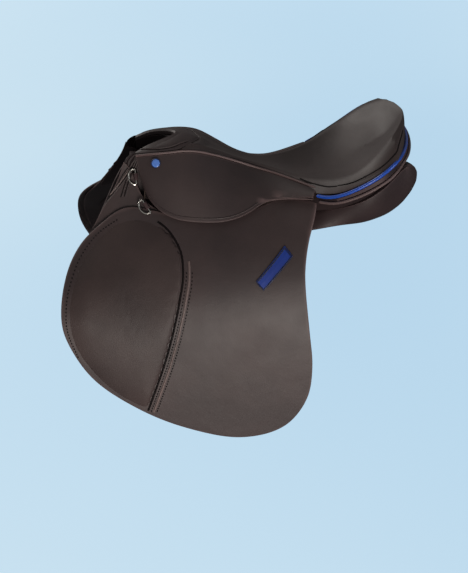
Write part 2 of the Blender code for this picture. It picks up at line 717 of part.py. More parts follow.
def sweep_box(name, path, up, width, thickness, paint, side=1.0, lift=0.0):
    """Flat bar swept along a path."""
    _, across, above = frames(path, up)
    loops = []
    for p, a, u in zip(path, across, above):
        middle = p + u * lift
        loops.append([middle + a * width / 2 * i + u * thickness / 2 * j
                      for i, j in ((1, 1), (-1, 1), (-1, -1), (1, -1))])
    points, faces = bridge(loops, False)
    return make_node(name, points, faces, paint, side)


def sweep_round(name, path, radius, sides, paint, side=1.0, closed=False):
    """Round bar swept along a path."""
    ends = (np.roll(path, -1, axis=0) - np.roll(path, 1, axis=0)) if closed else np.gradient(path, axis=0)
    loops = []
    guide = np.array([0.31, 0.17, 0.93])
    for p, t in zip(path, ends):
        t = t / np.linalg.norm(t)
        first = np.cross(t, guide)
        first /= np.linalg.norm(first)
        second = np.cross(t, first)
        loops.append([p + (first * math.cos(a) + second * math.sin(a)) * radius
                      for a in np.linspace(0, 2 * math.pi, sides, endpoint=False)])
    points, faces = bridge(loops, closed)
    return make_node(name, points, faces, paint, side)


def both_sides(half):
    """Path over both sides from one that ends on the midline."""
    half = [np.array(p, dtype=float) for p in half]
    return [p * FLIP_Y for p in half] + half[-2::-1]


def make_facing():
    """Leather facing round the cut-back notch of the head, rolled in along its edge."""
    rows = 23
    notch = spline(both_sides(NOTCH_EDGE), rows)
    front = [p - np.array([FACING_JOIN, 0, 0]) for p in reversed(seat_row(0.0, 17)[8:])]
    seam = spline(both_sides(FACING_SEAM + front), rows)
    grid = []
    for edge, sewn in zip(notch, seam):
        middle = edge * 0.45 + sewn * 0.55 + np.array([0, 0, FACING_CROWN])
        inward = (edge - sewn) / np.linalg.norm(edge - sewn)
        rolled = edge + inward * FACING_TUCK - np.array([0, 0, FACING_ROLL])
        turned = edge + inward * FACING_TURN - np.array([0, 0, FACING_TURN])
        grid.append([sewn, middle, edge, turned, rolled])
    grid = np.array(grid)
    normal = grid_normals(grid)
    if normal[:, 1, 2].sum() < 0:
        normal = -normal
    close_grids("pommel_facing", grid, grid - normal * FACING_THICKNESS, leather)


def make_welts():
    """Piped welt in the seam between the cover and each skirt."""
    for tag, side in SIDES.items():
        path = spline([np.array(p) + seam_offset(WELT_RADIUS + 1.5 * GAP) for p in SEAM_LINE], 32)
        sweep_round(f"seat_welt_{tag}", path, WELT_RADIUS, 6, leather, side)


def make_cantle_trim():
    """Blue piping under the seat, the welt below it, and the leather facing between them."""
    count = 35
    piping = spline(both_sides(PIPING_LINE), count)
    welt = spline(both_sides(CANTLE_LINE), count)
    sweep_round("cantle_piping", piping, PIPING_RADIUS, 8, blue_lacquer)
    sweep_round("cantle_welt", welt, CANTLE_WELT_RADIUS, 8, leather)
    down = (welt - piping) / np.linalg.norm(welt - piping, axis=1, keepdims=True)
    top = piping + down * (PIPING_RADIUS + GAP)
    foot = welt - down * (CANTLE_WELT_RADIUS + 2 * GAP)
    outer = np.stack([top, (top + foot) / 2, foot], axis=1)[2:-2]
    normal = grid_normals(outer)
    reach = outer - np.array([SEAT_STATIONS[8][0][0], 0, 0])
    reach[..., 2] = 0
    normal *= np.sign((normal * reach).sum(axis=2, keepdims=True))
    close_grids("cantle_facing", outer, outer - normal * BAND_THICKNESS, leather)


def panel_loop(x, corners):
    """Closed section of the panel with crowned side and foot and softened corners."""
    gullet_top, outer_top, outer_foot, gullet_foot = [np.array(c, dtype=float) for c in corners]
    size = min(1.0, np.linalg.norm(outer_top - outer_foot) / PANEL_FULL_SIDE)
    side_crown = PANEL_SIDE_CROWN * size if x > PANEL_GUSSET_START else 0.0
    sides = [(gullet_top, outer_top, 0.0), (outer_top, outer_foot, side_crown),
             (outer_foot, gullet_foot, PANEL_FOOT_CROWN * size), (gullet_foot, gullet_top, 1.0)]
    loop = []
    for start, end, crown in sides:
        chord = end - start
        away = np.array([chord[1], -chord[0]]) / np.linalg.norm(chord) * -1
        for t in (0.07, 0.3, 0.7, 0.93):
            loop.append(start + chord * t + away * crown * 4 * t * (1 - t))
    return loop


def make_panel(tag, side):
    """Flocked panel half from the points of the tree to the back of the cantle."""
    corners = np.array([[c for c in station[1:]] for station in PANEL_STATIONS], dtype=float)
    places = [station[0] for station in PANEL_STATIONS]
    loops = []
    for share in np.linspace(0, 1, 27):
        x = curve_at([(p, 0) for p in places], share)[0]
        section = [curve_at(corners[:, k], share) for k in range(4)]
        loops.append([(x, p[0], p[1]) for p in panel_loop(x, section)])
    points, faces = bridge(loops, False)
    make_node(f"panel_{tag}", points, faces, lining_leather, side)


def make_wing(tag, side):
    """Thin lower part of the panel on the inner face of the sweat flap."""
    def outer(x, z, rim):
        return -sweat_level(x, z) - SWEAT_THICKNESS - WING_SEAT - edge_lift(rim)

    def inner(x, z, rim):
        return outer(x, z, rim) - WING_EDGE - (WING_THICKNESS - WING_EDGE) * swell(rim, WING_ROUND)
    side_sheet(f"panel_wing_{tag}", WING_OUTLINE, outer, inner, lining_leather, side)


def rail_up(path):
    """Up directions of the rails: tipped outward at the twist, level at the cantle."""
    ups = []
    for x, y, _ in path:
        tilt = math.radians(RAIL_TILT) * min(1.0, max(0.0, (RAIL_LEVEL_FROM - x) / RAIL_TILT_REACH))
        ups.append((0, math.copysign(math.sin(tilt), y) if abs(y) > 1 else 0, math.cos(tilt)))
    return np.array(ups)


def make_tree():
    """Rails and cantle of the tree, head arch and its steel plates."""
    path = spline(both_sides(RAIL_LINE), RAIL_RINGS)
    sweep_box("tree_rails", path, rail_up(path), RAIL_WIDTH, RAIL_THICKNESS, wood)
    arch = spline(both_sides(ARCH_LINE), 25)
    middle = np.array([arch[len(arch) // 2][0], 0, arch[:, 2].min() - ARCH_CENTRE_DROP])
    up = arch - middle
    up[:, 0] = 0
    up /= np.linalg.norm(up, axis=1, keepdims=True)
    sweep_box("head_arch", arch, up, ARCH_WIDTH, ARCH_THICKNESS, wood)
    step = ARCH_THICKNESS / 2 + PLATE_PLAY + HEAD_PLATE_THICKNESS / 2
    sweep_box("head_plate", arch, up, HEAD_PLATE_WIDTH, HEAD_PLATE_THICKNESS, steel, lift=step)
    sweep_box("gullet_plate", arch, up, HEAD_PLATE_WIDTH, HEAD_PLATE_THICKNESS, steel, lift=-step)


def make_bar(tag, side):
    """Stirrup bar and the catch at its open end."""
    path = spline(BAR_LINE, 24)
    up = np.tile(np.array([0, 0, 1.0]), (len(path), 1))
    sweep_box(f"stirrup_bar_{tag}", path, up, BAR_THICKNESS, BAR_WIDTH, steel, side)
    end = path[-1]
    inner = BAR_THICKNESS / 2 + CATCH_PLAY
    outer = inner + CATCH_CHEEK
    plan = [(-CATCH_GRIP, -outer), (CATCH_LENGTH, -outer), (CATCH_LENGTH, outer), (-CATCH_GRIP, outer),
            (-CATCH_GRIP, inner), (CATCH_ROOM, inner), (CATCH_ROOM, -inner), (-CATCH_GRIP, -inner)]
    levels = (-CATCH_HEIGHT / 2, CATCH_HEIGHT / 2)
    loops = [[(end[0] + a, end[1] + b, end[2] + h) for a, b in plan] for h in levels]
    points = loops[0] + loops[1]
    faces = [(0, 1, 6, 7), (1, 2, 5, 6), (2, 3, 4, 5), (8, 9, 14, 15), (9, 10, 13, 14), (10, 11, 12, 13)]
    faces += [(k, (k + 1) % 8, 8 + (k + 1) % 8, 8 + k) for k in range(8)]
    return make_node(f"bar_catch_{tag}", points, faces, steel, side)


def make_dee(tag, side, level):
    """Dee ring and the leather keeper round its straight side."""
    middle, bar, reach = [np.array(v, dtype=float) for v in DEES[level]]
    bar /= np.linalg.norm(bar)
    reach -= bar * bar.dot(reach)
    reach /= np.linalg.norm(reach)
    half = DEE_WIDTH / 2
    ring = [middle + bar * half * t for t in np.linspace(-0.86, 0.86, 4)]
    for a in np.linspace(math.pi / 2, -math.pi / 2, 11):
        out = DEE_NECK + (DEE_REACH - DEE_NECK) * math.cos(a)
        ring.append(middle + bar * half * math.sin(a) + reach * out)
    dee = sweep_round(f"dee_ring_{level}_{tag}", np.array(ring), DEE_WIRE / 2, 6, nickel, side, closed=True)
    third = np.cross(bar, reach)
    bore = DEE_WIRE / 2 + KEEPER_PLAY
    skin = bore + KEEPER_WALL
    loops = []
    for size, end in ((bore, 0.5), (skin, 0.5), (skin, -0.5), (bore, -0.5)):
        loops.append([middle + bar * KEEPER_LENGTH * end + (reach * math.cos(a) + third * math.sin(a)) * size
                      for a in np.linspace(0, 2 * math.pi, 8, endpoint=False)])
    points, faces = bridge(loops, True)
    make_node(f"dee_keeper_{level}_{tag}", points, faces, leather, side)
    return dee


def make_stud(tag, side):
    """Plain round stud on the fixed part of the skirt."""
    share, across = STUD_SHARE
    seat = skirt_point(share, across)
    along = skirt_point(share + 0.01, across) - seat
    down = skirt_point(share, across + 0.02) - seat
    normal = np.cross(along, down)
    normal *= np.sign(normal[1]) / np.linalg.norm(normal)
    first = along / np.linalg.norm(along)
    second = np.cross(normal, first)
    radius = STUD_DIAMETER / 2
    profile = [(radius, GAP), (radius, STUD_HEIGHT * 0.45), (radius * 0.82, STUD_HEIGHT * 0.85),
               (radius * 0.4, STUD_HEIGHT)]
    loops = [[seat + normal * h + (first * math.cos(a) + second * math.sin(a)) * r
              for a in np.linspace(0, 2 * math.pi, STUD_SIDES, endpoint=False)] for r, h in profile]
    points, faces = bridge(loops, False)
    make_node(f"head_stud_{tag}", points, faces, blue_lacquer, side)


def rail_at(x):
    """Middle of the near rail, its outward direction and its up direction at a place along it."""
    path = spline(both_sides(RAIL_LINE), RAIL_RINGS)
    _, across, above = frames(path, rail_up(path))
    half = slice(0, RAIL_RINGS // 2)
    spot, side, up = [np.array([np.interp(x, path[half, 0], v[half, k]) for k in range(3)])
                      for v in (path, across, above)]
    return spot * FLIP_Y, side * FLIP_Y * math.copysign(1, -side[1]), up * FLIP_Y


def make_girth_web(name, x, width):
    """Web over both rails that carries the girth straps on each side."""
    columns = []
    for place in np.linspace(x - width / 2, x + width / 2, WEB_COLUMNS):
        middle, across, up = rail_at(place)
        top = middle + up * (RAIL_THICKNESS / 2 + 3 * GAP + WEB_THICKNESS)
        half = [side_point(place, z, -strap_level() - STRAP_THICKNESS / 2) for z in WEB_DROP]
        inner = top - across * RAIL_WIDTH / 2
        half += [top + across * (RAIL_WIDTH / 2 + WEB_OVERHANG), top + across * RAIL_WIDTH / 4,
                 top - across * RAIL_WIDTH / 4, inner, inner * np.array([1, 0, 1])]
        columns.append(both_sides(half))
    upper = np.array(columns)
    close_grids(name, upper, upper - upward(upper) * WEB_THICKNESS, webbing)


def make_bridge(name, x, width, height, reach):
    """Leather strip over the gullet that joins the two panel halves."""
    spots = np.linspace(-reach, reach, 7)
    path = np.array([(x, y, height + BRIDGE_CROWN * (1 - (y / reach) ** 2)) for y in spots])
    up = np.tile(np.array([0, 0, 1.0]), (len(path), 1))
    sweep_box(name, path, up, width, BRIDGE_THICKNESS, lining_leather)


def set_origin(obj, place, side):
    """Put the origin of an object on its joint."""
    spot = Vector((place[0] * MM, side * place[1] * MM, place[2] * MM))
    obj.data.transform(Matrix.Translation(-spot))
    obj.location = spot


def build():
    """Make every piece; the pieces that move get their origin on their joint."""
    clear_scene()
    make_seat()
    make_facing()
    make_welts()
    make_cantle_trim()
    make_tree()
    make_girth_web("girth_web_front", STRAP_STATIONS["front"], STRAP_WIDTH)
    rear = (STRAP_STATIONS["middle"] + STRAP_STATIONS["rear"]) / 2
    make_girth_web("girth_web_rear", rear, STRAP_STATIONS["rear"] - STRAP_STATIONS["middle"] + STRAP_WIDTH)
    for place, sizes in BRIDGES.items():
        make_bridge(f"panel_bridge_{place}", *sizes)
    fold = (np.array(FOLD_FRONT) + np.array(FOLD_REAR)) / 2 + np.array([0, HINGE_OUT, 0])
    for tag, side in SIDES.items():
        make_panel(tag, side)
        make_sweat_flap(tag, side)
        make_wing(tag, side)
        make_block(f"knee_block_{tag}", side, KNEE_BLOCK, KNEE_BLOCK_SIZE)
        make_block(f"thigh_block_{tag}", side, THIGH_BLOCK, THIGH_BLOCK_SIZE)
        make_stud(tag, side)
        for make in (make_flap, make_knee_pad, make_name_plate, make_skirt):
            set_origin(make(tag, side), fold, side)
        for place, x in STRAP_STATIONS.items():
            top = side_point(x, STRAP_TOP, -strap_level() - STRAP_THICKNESS / 2)
            set_origin(make_strap(tag, side, place, x), top, side)
        guard_place = side_point(0, sum(z for _, z in GUARD_OUTLINE) / len(GUARD_OUTLINE), -strap_level())
        set_origin(make_guard(tag, side), guard_place, side)
        set_origin(make_bar(tag, side), BAR_LINE[-1], side)
        for level, (middle, _, _) in DEES.items():
            set_origin(make_dee(tag, side, level), middle, side)


build()
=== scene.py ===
# %% [markdown]
# A jumping saddle seen from its near side. The tree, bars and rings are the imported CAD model. Every
# leather, foam and web piece is made again here over its CAD solid, with rounded edges and a grained
# finish, because real leather has no sharp corner anywhere.

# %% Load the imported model
import math
import bpy
from mathutils import Matrix, Vector


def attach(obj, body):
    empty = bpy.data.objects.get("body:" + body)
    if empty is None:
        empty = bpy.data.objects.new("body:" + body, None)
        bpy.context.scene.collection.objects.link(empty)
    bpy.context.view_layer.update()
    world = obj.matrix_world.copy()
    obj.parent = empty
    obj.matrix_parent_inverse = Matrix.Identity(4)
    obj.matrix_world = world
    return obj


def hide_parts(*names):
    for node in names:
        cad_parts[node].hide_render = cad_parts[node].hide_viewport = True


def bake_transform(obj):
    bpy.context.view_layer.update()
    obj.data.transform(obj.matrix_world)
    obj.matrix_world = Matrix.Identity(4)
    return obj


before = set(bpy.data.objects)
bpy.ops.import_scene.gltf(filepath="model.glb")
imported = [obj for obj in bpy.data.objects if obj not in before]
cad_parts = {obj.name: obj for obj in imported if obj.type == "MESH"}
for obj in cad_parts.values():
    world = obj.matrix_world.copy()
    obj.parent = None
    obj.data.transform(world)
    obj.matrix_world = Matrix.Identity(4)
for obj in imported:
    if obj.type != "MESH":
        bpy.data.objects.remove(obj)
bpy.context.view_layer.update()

SIDES = {"left": -1, "right": 1}      # the near side looks to -Y, the far side to +Y

# %% [markdown]
# The photograph was taken from the near side and from above. The camera stands 1.8 m out and 0.95 m
# up, and looks down by 31 degrees. It could be aimed by hand, but a place and two angles are easier
# to keep. It is made first, so that each later piece can be judged in the same frame.

# %% Camera
CAMERA_PLACE = (-0.07906518, -1.81089037, 0.94523652)
CAMERA_AZIMUTH, CAMERA_PITCH = math.radians(2.17768), math.radians(31.17108)
CAMERA_LENS, SENSOR_WIDTH = 73.508, 36
bpy.ops.object.select_all(action="DESELECT")
bpy.ops.object.camera_add(location=CAMERA_PLACE,
                          rotation=(math.pi / 2 - CAMERA_PITCH, 0, -CAMERA_AZIMUTH))
camera = bpy.context.object
camera.name = "camera"
camera.data.lens = CAMERA_LENS
camera.data.sensor_width = SENSOR_WIDTH
bpy.context.scene.camera = camera
bpy.context.scene.view_settings.view_transform = "Standard"
print("camera at", tuple(round(c, 3) for c in camera.location))

# %% [markdown]
# A finish is written as the colour that the eye reads, from 0 to 255, and Blender wants linear light.
# The colour picker turns the one into the other by hand. A script has no picker, so this helper does it.

# %% Colour helper
def tint(red, green, blue):
    """The colour as linear light, with alpha."""
    def linear(c):
        c = c / 255
        return c / 12.92 if c <= 0.04045 else ((c + 0.055) / 1.055) ** 2.4
    return (linear(red), linear(green), linear(blue), 1)

# %% [markdown]
# All the soft finishes are the same idea: two near colours mixed by a broad noise, so that no area is
# flat, a fine cell pattern as grain, a slower wave for the give of the hide, and a gloss that wanders a
# little. A picture of leather could be wrapped on instead, but it would need unwrapping and would show
# its seams. Object coordinates keep the grain the same size on each piece. The constants sit on the
# shader's own sockets.

# %% Colour, gloss and relief
# Rims are lighter for two causes: worn edges, and a painted highlight where the rounded edge catches the
# light.
RIM_WEAR_AND_HIGHLIGHT = 2.4                      # how much lighter a rubbed rim is
COLOUR_STOPS = (0.32, 0.70)
GLOSS_WANDER = 0.07
GIVE_SCALE, GIVE_STRENGTH, GIVE_DEPTH = 45, 0.35, 0.0012
GRAIN_DEPTH = 0.0004
MIX_SHARE, MIX_FIRST, MIX_SECOND, MIX_RESULT = 0, 6, 7, 2      # a Mix node's colour sockets


def noise(tree, place, scale, detail):
    """A noise with this many waves to a metre."""
    node = tree.nodes.new("ShaderNodeTexNoise")
    node.inputs["Scale"].default_value = scale
    node.inputs["Detail"].default_value = detail
    tree.links.new(place, node.inputs["Vector"])
    return node.outputs["Fac"]


def between(tree, share, stops, colours):
    """A colour that runs from the first to the second between two stops."""
    ramp = tree.nodes.new("ShaderNodeValToRGB")
    for stop, position, colour in zip(ramp.color_ramp.elements, stops, colours):
        stop.position = position
        stop.color = colour
    tree.links.new(share, ramp.inputs["Fac"])
    return ramp.outputs["Color"]


def hide_colour(tree, place, light, deep, patch):
    """Two near colours mixed by a broad noise, and lighter on the marked rims: worn edges and a painted
    highlight along them.
    """
    rim = tree.nodes.new("ShaderNodeAttribute")
    rim.attribute_name = "wear_and_highlight"
    worn_and_highlit = tree.nodes.new("ShaderNodeMix")
    worn_and_highlit.data_type = "RGBA"
    tree.links.new(rim.outputs["Fac"], worn_and_highlit.inputs[MIX_SHARE])
    mixed = between(tree, noise(tree, place, patch, 5), COLOUR_STOPS, (deep, light))
    tree.links.new(mixed, worn_and_highlit.inputs[MIX_FIRST])
    # The rim colour is the light colour made lighter: part worn edge, part painted highlight.
    worn_and_highlit.inputs[MIX_SECOND].default_value = (*(min(1.0, c * RIM_WEAR_AND_HIGHLIGHT) for c in light[:3]), 1)
    return worn_and_highlit.outputs[MIX_RESULT]


def hide_gloss(tree, place, rough, patch):
    """A roughness that wanders a little either way."""
    gloss = tree.nodes.new("ShaderNodeMapRange")
    gloss.inputs["To Min"].default_value = rough - GLOSS_WANDER
    gloss.inputs["To Max"].default_value = rough + GLOSS_WANDER
    tree.links.new(noise(tree, place, patch * 2.5, 3), gloss.inputs["Value"])
    return gloss.outputs["Result"]


def hide_relief(tree, place, cell, relief):
    """Fine cells over the slower give of the hide."""
    give = tree.nodes.new("ShaderNodeBump")
    give.inputs["Strength"].default_value = GIVE_STRENGTH
    give.inputs["Distance"].default_value = GIVE_DEPTH
    tree.links.new(noise(tree, place, GIVE_SCALE, 2), give.inputs["Height"])
    cells = tree.nodes.new("ShaderNodeTexVoronoi")
    cells.inputs["Scale"].default_value = cell
    tree.links.new(place, cells.inputs["Vector"])
    grain = tree.nodes.new("ShaderNodeBump")
    grain.inputs["Strength"].default_value = relief
    grain.inputs["Distance"].default_value = GRAIN_DEPTH
    tree.links.new(cells.outputs["Distance"], grain.inputs["Height"])
    tree.links.new(give.outputs["Normal"], grain.inputs["Normal"])
    return grain.outputs["Normal"]

# %% Grained finish
COAT_ROUGH = 0.25


def grained(name, light, deep, rough, cell=850, relief=0.25, patch=9, coat=0.0, sheen=0.0, gloss_level=0.4):
    """A procedural leather, cloth or foam: light and deep colours, cells per metre, relief and gloss."""
    finish = bpy.data.materials.new(name)
    finish.use_nodes = True
    tree = finish.node_tree
    shader = tree.nodes["Principled BSDF"]
    shader.inputs["Coat Weight"].default_value = coat
    shader.inputs["Coat Roughness"].default_value = COAT_ROUGH
    shader.inputs["Sheen Weight"].default_value = sheen
    shader.inputs["Specular IOR Level"].default_value = gloss_level
    place = tree.nodes.new("ShaderNodeTexCoord").outputs["Object"]
    tree.links.new(hide_colour(tree, place, light, deep, patch), shader.inputs["Base Color"])
    tree.links.new(hide_gloss(tree, place, rough, patch), shader.inputs["Roughness"])
    tree.links.new(hide_relief(tree, place, cell, relief), shader.inputs["Normal"])
    return finish


bridle_brown = grained("bridle_brown", tint(53, 42, 42), tint(41, 32, 33), 0.55)
seat_hide = grained("seat_hide", tint(57, 46, 45), tint(44, 35, 35), 0.54, cell=700, relief=0.3)
pad_hide = grained("pad_hide", tint(56, 45, 44), tint(43, 34, 34), 0.55, cell=760, relief=0.35,
                   gloss_level=0.3)
lining_hide = grained("lining_hide", tint(44, 34, 35), tint(32, 24, 26), 0.55, cell=600,
                      gloss_level=0.25)
# Darker hide: the own colour of the keepers and facings, and painted shade on the folds of the head and
# inside the notch.
dark_hide_and_shade = grained("dark_hide_and_shade", tint(36, 27, 28), tint(26, 19, 21), 0.6, cell=700, gloss_level=0.2)
# A lighter hide as a painted highlight, on the raised ridge behind the knee pad and on the sweat flap's edge
# line.
painted_highlight_hide = grained("painted_highlight_hide", tint(92, 78, 76), tint(72, 60, 58), 0.45, cell=800)
welt_hide = grained("welt_hide", tint(50, 40, 40), tint(37, 29, 30), 0.58, cell=500)
strap_hide = grained("strap_hide", tint(62, 49, 45), tint(42, 33, 31), 0.5, cell=500, relief=0.35)
foam = grained("foam", tint(214, 196, 150), tint(188, 168, 122), 0.9, cell=420, relief=0.5)
web_cloth = grained("web_cloth", tint(150, 138, 116), tint(116, 104, 84), 0.85, cell=380, relief=0.6,
                    sheen=0.2)
piping_blue = grained("piping_blue", tint(10, 40, 100), tint(6, 27, 76), 0.34, cell=90, relief=0.03,
                      coat=0.15)
tag_blue = grained("tag_blue", tint(20, 52, 134), tint(12, 36, 104), 0.4, cell=300, relief=0.1, coat=0.2)
stud_blue = grained("stud_blue", tint(98, 142, 214), tint(58, 98, 180), 0.25, cell=90, relief=0.05,
                    coat=0.5)
navy_edge = grained("navy_edge", tint(20, 32, 70), tint(13, 21, 50), 0.4, cell=300, relief=0.1)
# Dark thread for the stitches, and near-black painted shade in the long creases ahead of the skirt.
thread_and_crease_shade = grained("thread_and_crease_shade", tint(20, 14, 16), tint(13, 9, 10), 0.7, cell=1800, relief=0.3,
                      gloss_level=0.15)
# Near-black: painted shade in the groove, the sweat flap's crease, the holes and under the brow; over the
# head it is the dark line of the seam.
seam_shade = grained("seam_shade", tint(16, 11, 12), tint(10, 7, 8), 0.75, cell=900, relief=0.2,
                     gloss_level=0.1)
tree_wood = grained("tree_wood", tint(60, 45, 36), tint(44, 32, 26), 0.5, cell=120, relief=0.2)
print("soft finishes", len(bpy.data.materials))

# %% [markdown]
# Metal has no grain to speak of, but it is never one even mirror: polish leaves faint scratches and
# dull patches. One flat value would do from afar. The same noise idea costs no more, so it drives the
# gloss, a slight bump and a faint change of colour here too.

# %% Metal finish
DULL_SHARE = 0.86


def metal(name, colour, rough):
    """A procedural metal with wandering gloss."""
    dull = tuple(c * DULL_SHARE for c in colour[:3]) + (1,)
    finish = grained(name, colour, dull, rough, cell=240, relief=0.05, patch=40)
    finish.node_tree.nodes["Principled BSDF"].inputs["Metallic"].default_value = 1
    return finish


nickel = metal("nickel", tint(206, 204, 198), 0.24)
satin_steel = metal("satin_steel", tint(96, 97, 100), 0.42)
japanned_steel = metal("japanned_steel", tint(34, 29, 29), 0.5)
print("metals", nickel.name, satin_steel.name, japanned_steel.name)

# %% [markdown]
# Blender's operators act on all that is selected, and each new object comes in selected. So each step
# first clears the selection and then picks its own piece.

# %% Picking one piece
print("selected so far", [o.name for o in bpy.context.selected_objects])


def only(piece):
    """Selects this piece alone and makes it active."""
    bpy.ops.object.select_all(action="DESELECT")
    piece.select_set(True)
    bpy.context.view_layer.objects.active = piece


def apply(piece, kind, **settings):
    """Adds one modifier with these settings and applies it. The piece stays the one that is picked."""
    only(piece)
    step = piece.modifiers.new(kind.lower(), kind)
    for key, value in settings.items():
        setattr(step, key, value)
    bpy.ops.object.modifier_apply(modifier=step.name)


def subdivide(piece, levels):
    """Applies a subdivision surface."""
    apply(piece, "SUBSURF", levels=levels, render_levels=levels)

# %% [markdown]
# A CAD solid is loose triangles. Its copy is merged into one skin, and the triangles are turned back
# into four-sided faces, because a subdivision surface runs smoothly only over those. A small bevel goes
# on before the subdivision and keeps the outline where the CAD has it, while the rim becomes round.

# %% Copying a soft solid
MERGE_REACH = 0.00005
FLAT_ENOUGH, SQUARE_ENOUGH = math.radians(50), math.radians(60)


def copy_of(node, name, finish):
    """A merged, four-sided copy of a CAD node with one finish. The node itself isn't touched."""
    piece = bpy.data.objects.new(name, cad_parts[node].data.copy())
    bpy.context.scene.collection.objects.link(piece)
    only(piece)
    bpy.ops.object.mode_set(mode="EDIT")
    bpy.ops.mesh.select_all(action="SELECT")
    bpy.ops.mesh.remove_doubles(threshold=MERGE_REACH)
    bpy.ops.mesh.tris_convert_to_quads(face_threshold=FLAT_ENOUGH, shape_threshold=SQUARE_ENOUGH)
    bpy.ops.object.mode_set(mode="OBJECT")
    piece.data.materials.clear()
    piece.data.materials.append(finish)
    return piece

# %% Dressing a soft solid
NARROW = 0.003
RIM_ANGLE = math.radians(38)


def mark_rim(piece):
    """Marks the points that touch only narrow faces, which are those on a bevelled rim."""
    mesh = piece.data
    wide = set()
    for face in mesh.polygons:
        spots = [mesh.vertices[k].co for k in face.vertices]
        if min((a - b).length for a, b in zip(spots, spots[1:] + spots[:1])) > NARROW:
            wide.update(face.vertices)
    # These rims get the lighter colour: worn edges and a painted highlight.
    rim = mesh.attributes.new("wear_and_highlight", "FLOAT", "POINT")
    rim.data.foreach_set("value", [0.0 if k in wide else 1.0 for k in range(len(mesh.vertices))])


def dress(node, finish, rim, levels):
    """A rounded, smooth copy of a CAD solid, with a bevel of this width on its rim."""
    piece = copy_of(node, f"{node}_dressed", finish)
    apply(piece, "BEVEL", width=rim, segments=2, limit_method="ANGLE", angle_limit=RIM_ANGLE,
          use_clamp_overlap=True)
    mark_rim(piece)
    subdivide(piece, levels)
    bpy.ops.object.shade_smooth()
    return piece


def hang(piece, body, node):
    """The piece rides on a body and stands for this node, which is hidden."""
    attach(piece, body)
    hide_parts(node)
    return piece

# %% [markdown]
# The middle of the saddle: the seat, its foam, the cut-back pommel edge, the cantle with its blue
# piping and brown welt, and the bridges that join the two panel halves. They are one of each, and all
# of them stay with the tree. Each could be modelled anew, but a rounded copy keeps the solid's size and
# place without measuring again.

# %% Middle pieces
# node, finish, bevel on the rim, levels of subdivision
MIDDLE = (("seat_cover", seat_hide, 0.0007, 2), ("seat_foam", foam, 0.0015, 1),
          ("pommel_facing", bridle_brown, 0.0009, 2), ("cantle_facing", dark_hide_and_shade, 0.0007, 2),
          ("cantle_piping", piping_blue, 0.0004, 1), ("cantle_welt", welt_hide, 0.0004, 1),
          ("seat_web", web_cloth, 0.0004, 1), ("girth_web_front", web_cloth, 0.0004, 1),
          ("girth_web_rear", web_cloth, 0.0004, 1), ("panel_bridge_front", lining_hide, 0.0006, 2),
          ("panel_bridge_rear", lining_hide, 0.0006, 2))
middle = {}
for node, finish, rim, levels in MIDDLE:
    middle[node] = hang(dress(node, finish, rim, levels), "saddle", node)
print("middle pieces", len(middle))

# %% [markdown]
# The cover is drawn tight over a full cantle, and its brow swells out over the piping. The CAD shell is
# slimmer there, so the copy's points are moved out from the middle of the seat: most at the brow, not
# at all in the seat's bowl or ahead of it. A sculpting brush could do it, but a formula comes out the
# same on both sides.

# %% Fuller brow
BROW_CENTRE, BROW_START, BROW_REACH = Vector((0.150, 0.0)), 0.062, 0.030
BROW_FRONT, BROW_FADE = 0.128, 0.06
BROW_OUT, BROW_UP = 0.0055, -0.0006
REAR_FRONT, REAR_PASSES = 0.13, 14


def ease(t):
    """0 below 0, 1 above 1 and smooth between."""
    t = min(max(t, 0.0), 1.0)
    return t * t * (3 - 2 * t)


for node in ("seat_cover", "seat_foam"):
    for vertex in middle[node].data.vertices:
        flat = vertex.co.xy - BROW_CENTRE
        share = ease((flat.length - BROW_START) / BROW_REACH) * ease((vertex.co.x - BROW_FRONT) / BROW_FADE)
        if share:
            vertex.co.xy += flat.normalized() * BROW_OUT * share
            vertex.co.z += BROW_UP * share
    middle[node].data.update()
print("brow moved out", BROW_OUT)

# %% Smoother rear of the cover
seat_rear = middle["seat_cover"].vertex_groups.new(name="rear")
seat_rear.add([v.index for v in middle["seat_cover"].data.vertices if v.co.x > REAR_FRONT], 1.0, "REPLACE")
apply(middle["seat_cover"], "SMOOTH", factor=0.5, iterations=REAR_PASSES, vertex_group=seat_rear.name)
# The cover and the facing keep their plain colour on the rims: no worn edge and no painted highlight.
for node in ("seat_cover", "pommel_facing"):
    middle[node].data.attributes.remove(middle[node].data.attributes["wear_and_highlight"])
print("cover smoothed", REAR_PASSES, "times; no rubbed rim on cover and facing")

# %% [markdown]
# The paired pieces are made once for each side by the same line. The third word is the body that
# carries the piece: the flap and its knee pad lift together, and each girth strap swings alone. A mirror
# modifier could make the far side, but the CAD has both sides already, and each rides on its own body.

# %% Paired pieces
# stem of the node, finish, body, bevel on the rim, levels of subdivision
PAIRED = (("seat_welt", bridle_brown, "saddle", 0.0004, 1),
          ("sweat_flap", bridle_brown, "saddle", 0.0006, 2), ("panel", lining_hide, "saddle", 0.002, 2),
          ("panel_wing", lining_hide, "saddle", 0.0012, 2), ("knee_block", pad_hide, "saddle", 0.002, 2),
          ("thigh_block", pad_hide, "saddle", 0.002, 2), ("dee_keeper_upper", dark_hide_and_shade, "saddle", 0.0004, 1),
          ("flap", bridle_brown, "lifting_flap_TAG", 0.0016, 2),
          ("dee_keeper_lower", dark_hide_and_shade, "lifting_flap_TAG", 0.0004, 1),
          ("girth_strap_front", strap_hide, "strap_front_TAG", 0.0005, 1),
          ("girth_strap_middle", strap_hide, "strap_middle_TAG", 0.0005, 1),
          ("girth_strap_rear", strap_hide, "strap_rear_TAG", 0.0005, 1),
          ("buckle_guard", strap_hide, "guard_TAG", 0.0005, 2))
paired = {}
for tag in SIDES:
    for stem, finish, body, rim, levels in PAIRED:
        node = f"{stem}_{tag}"
        paired[node] = hang(dress(node, finish, rim, levels), body.replace("TAG", tag), node)
print("paired pieces", len(paired))

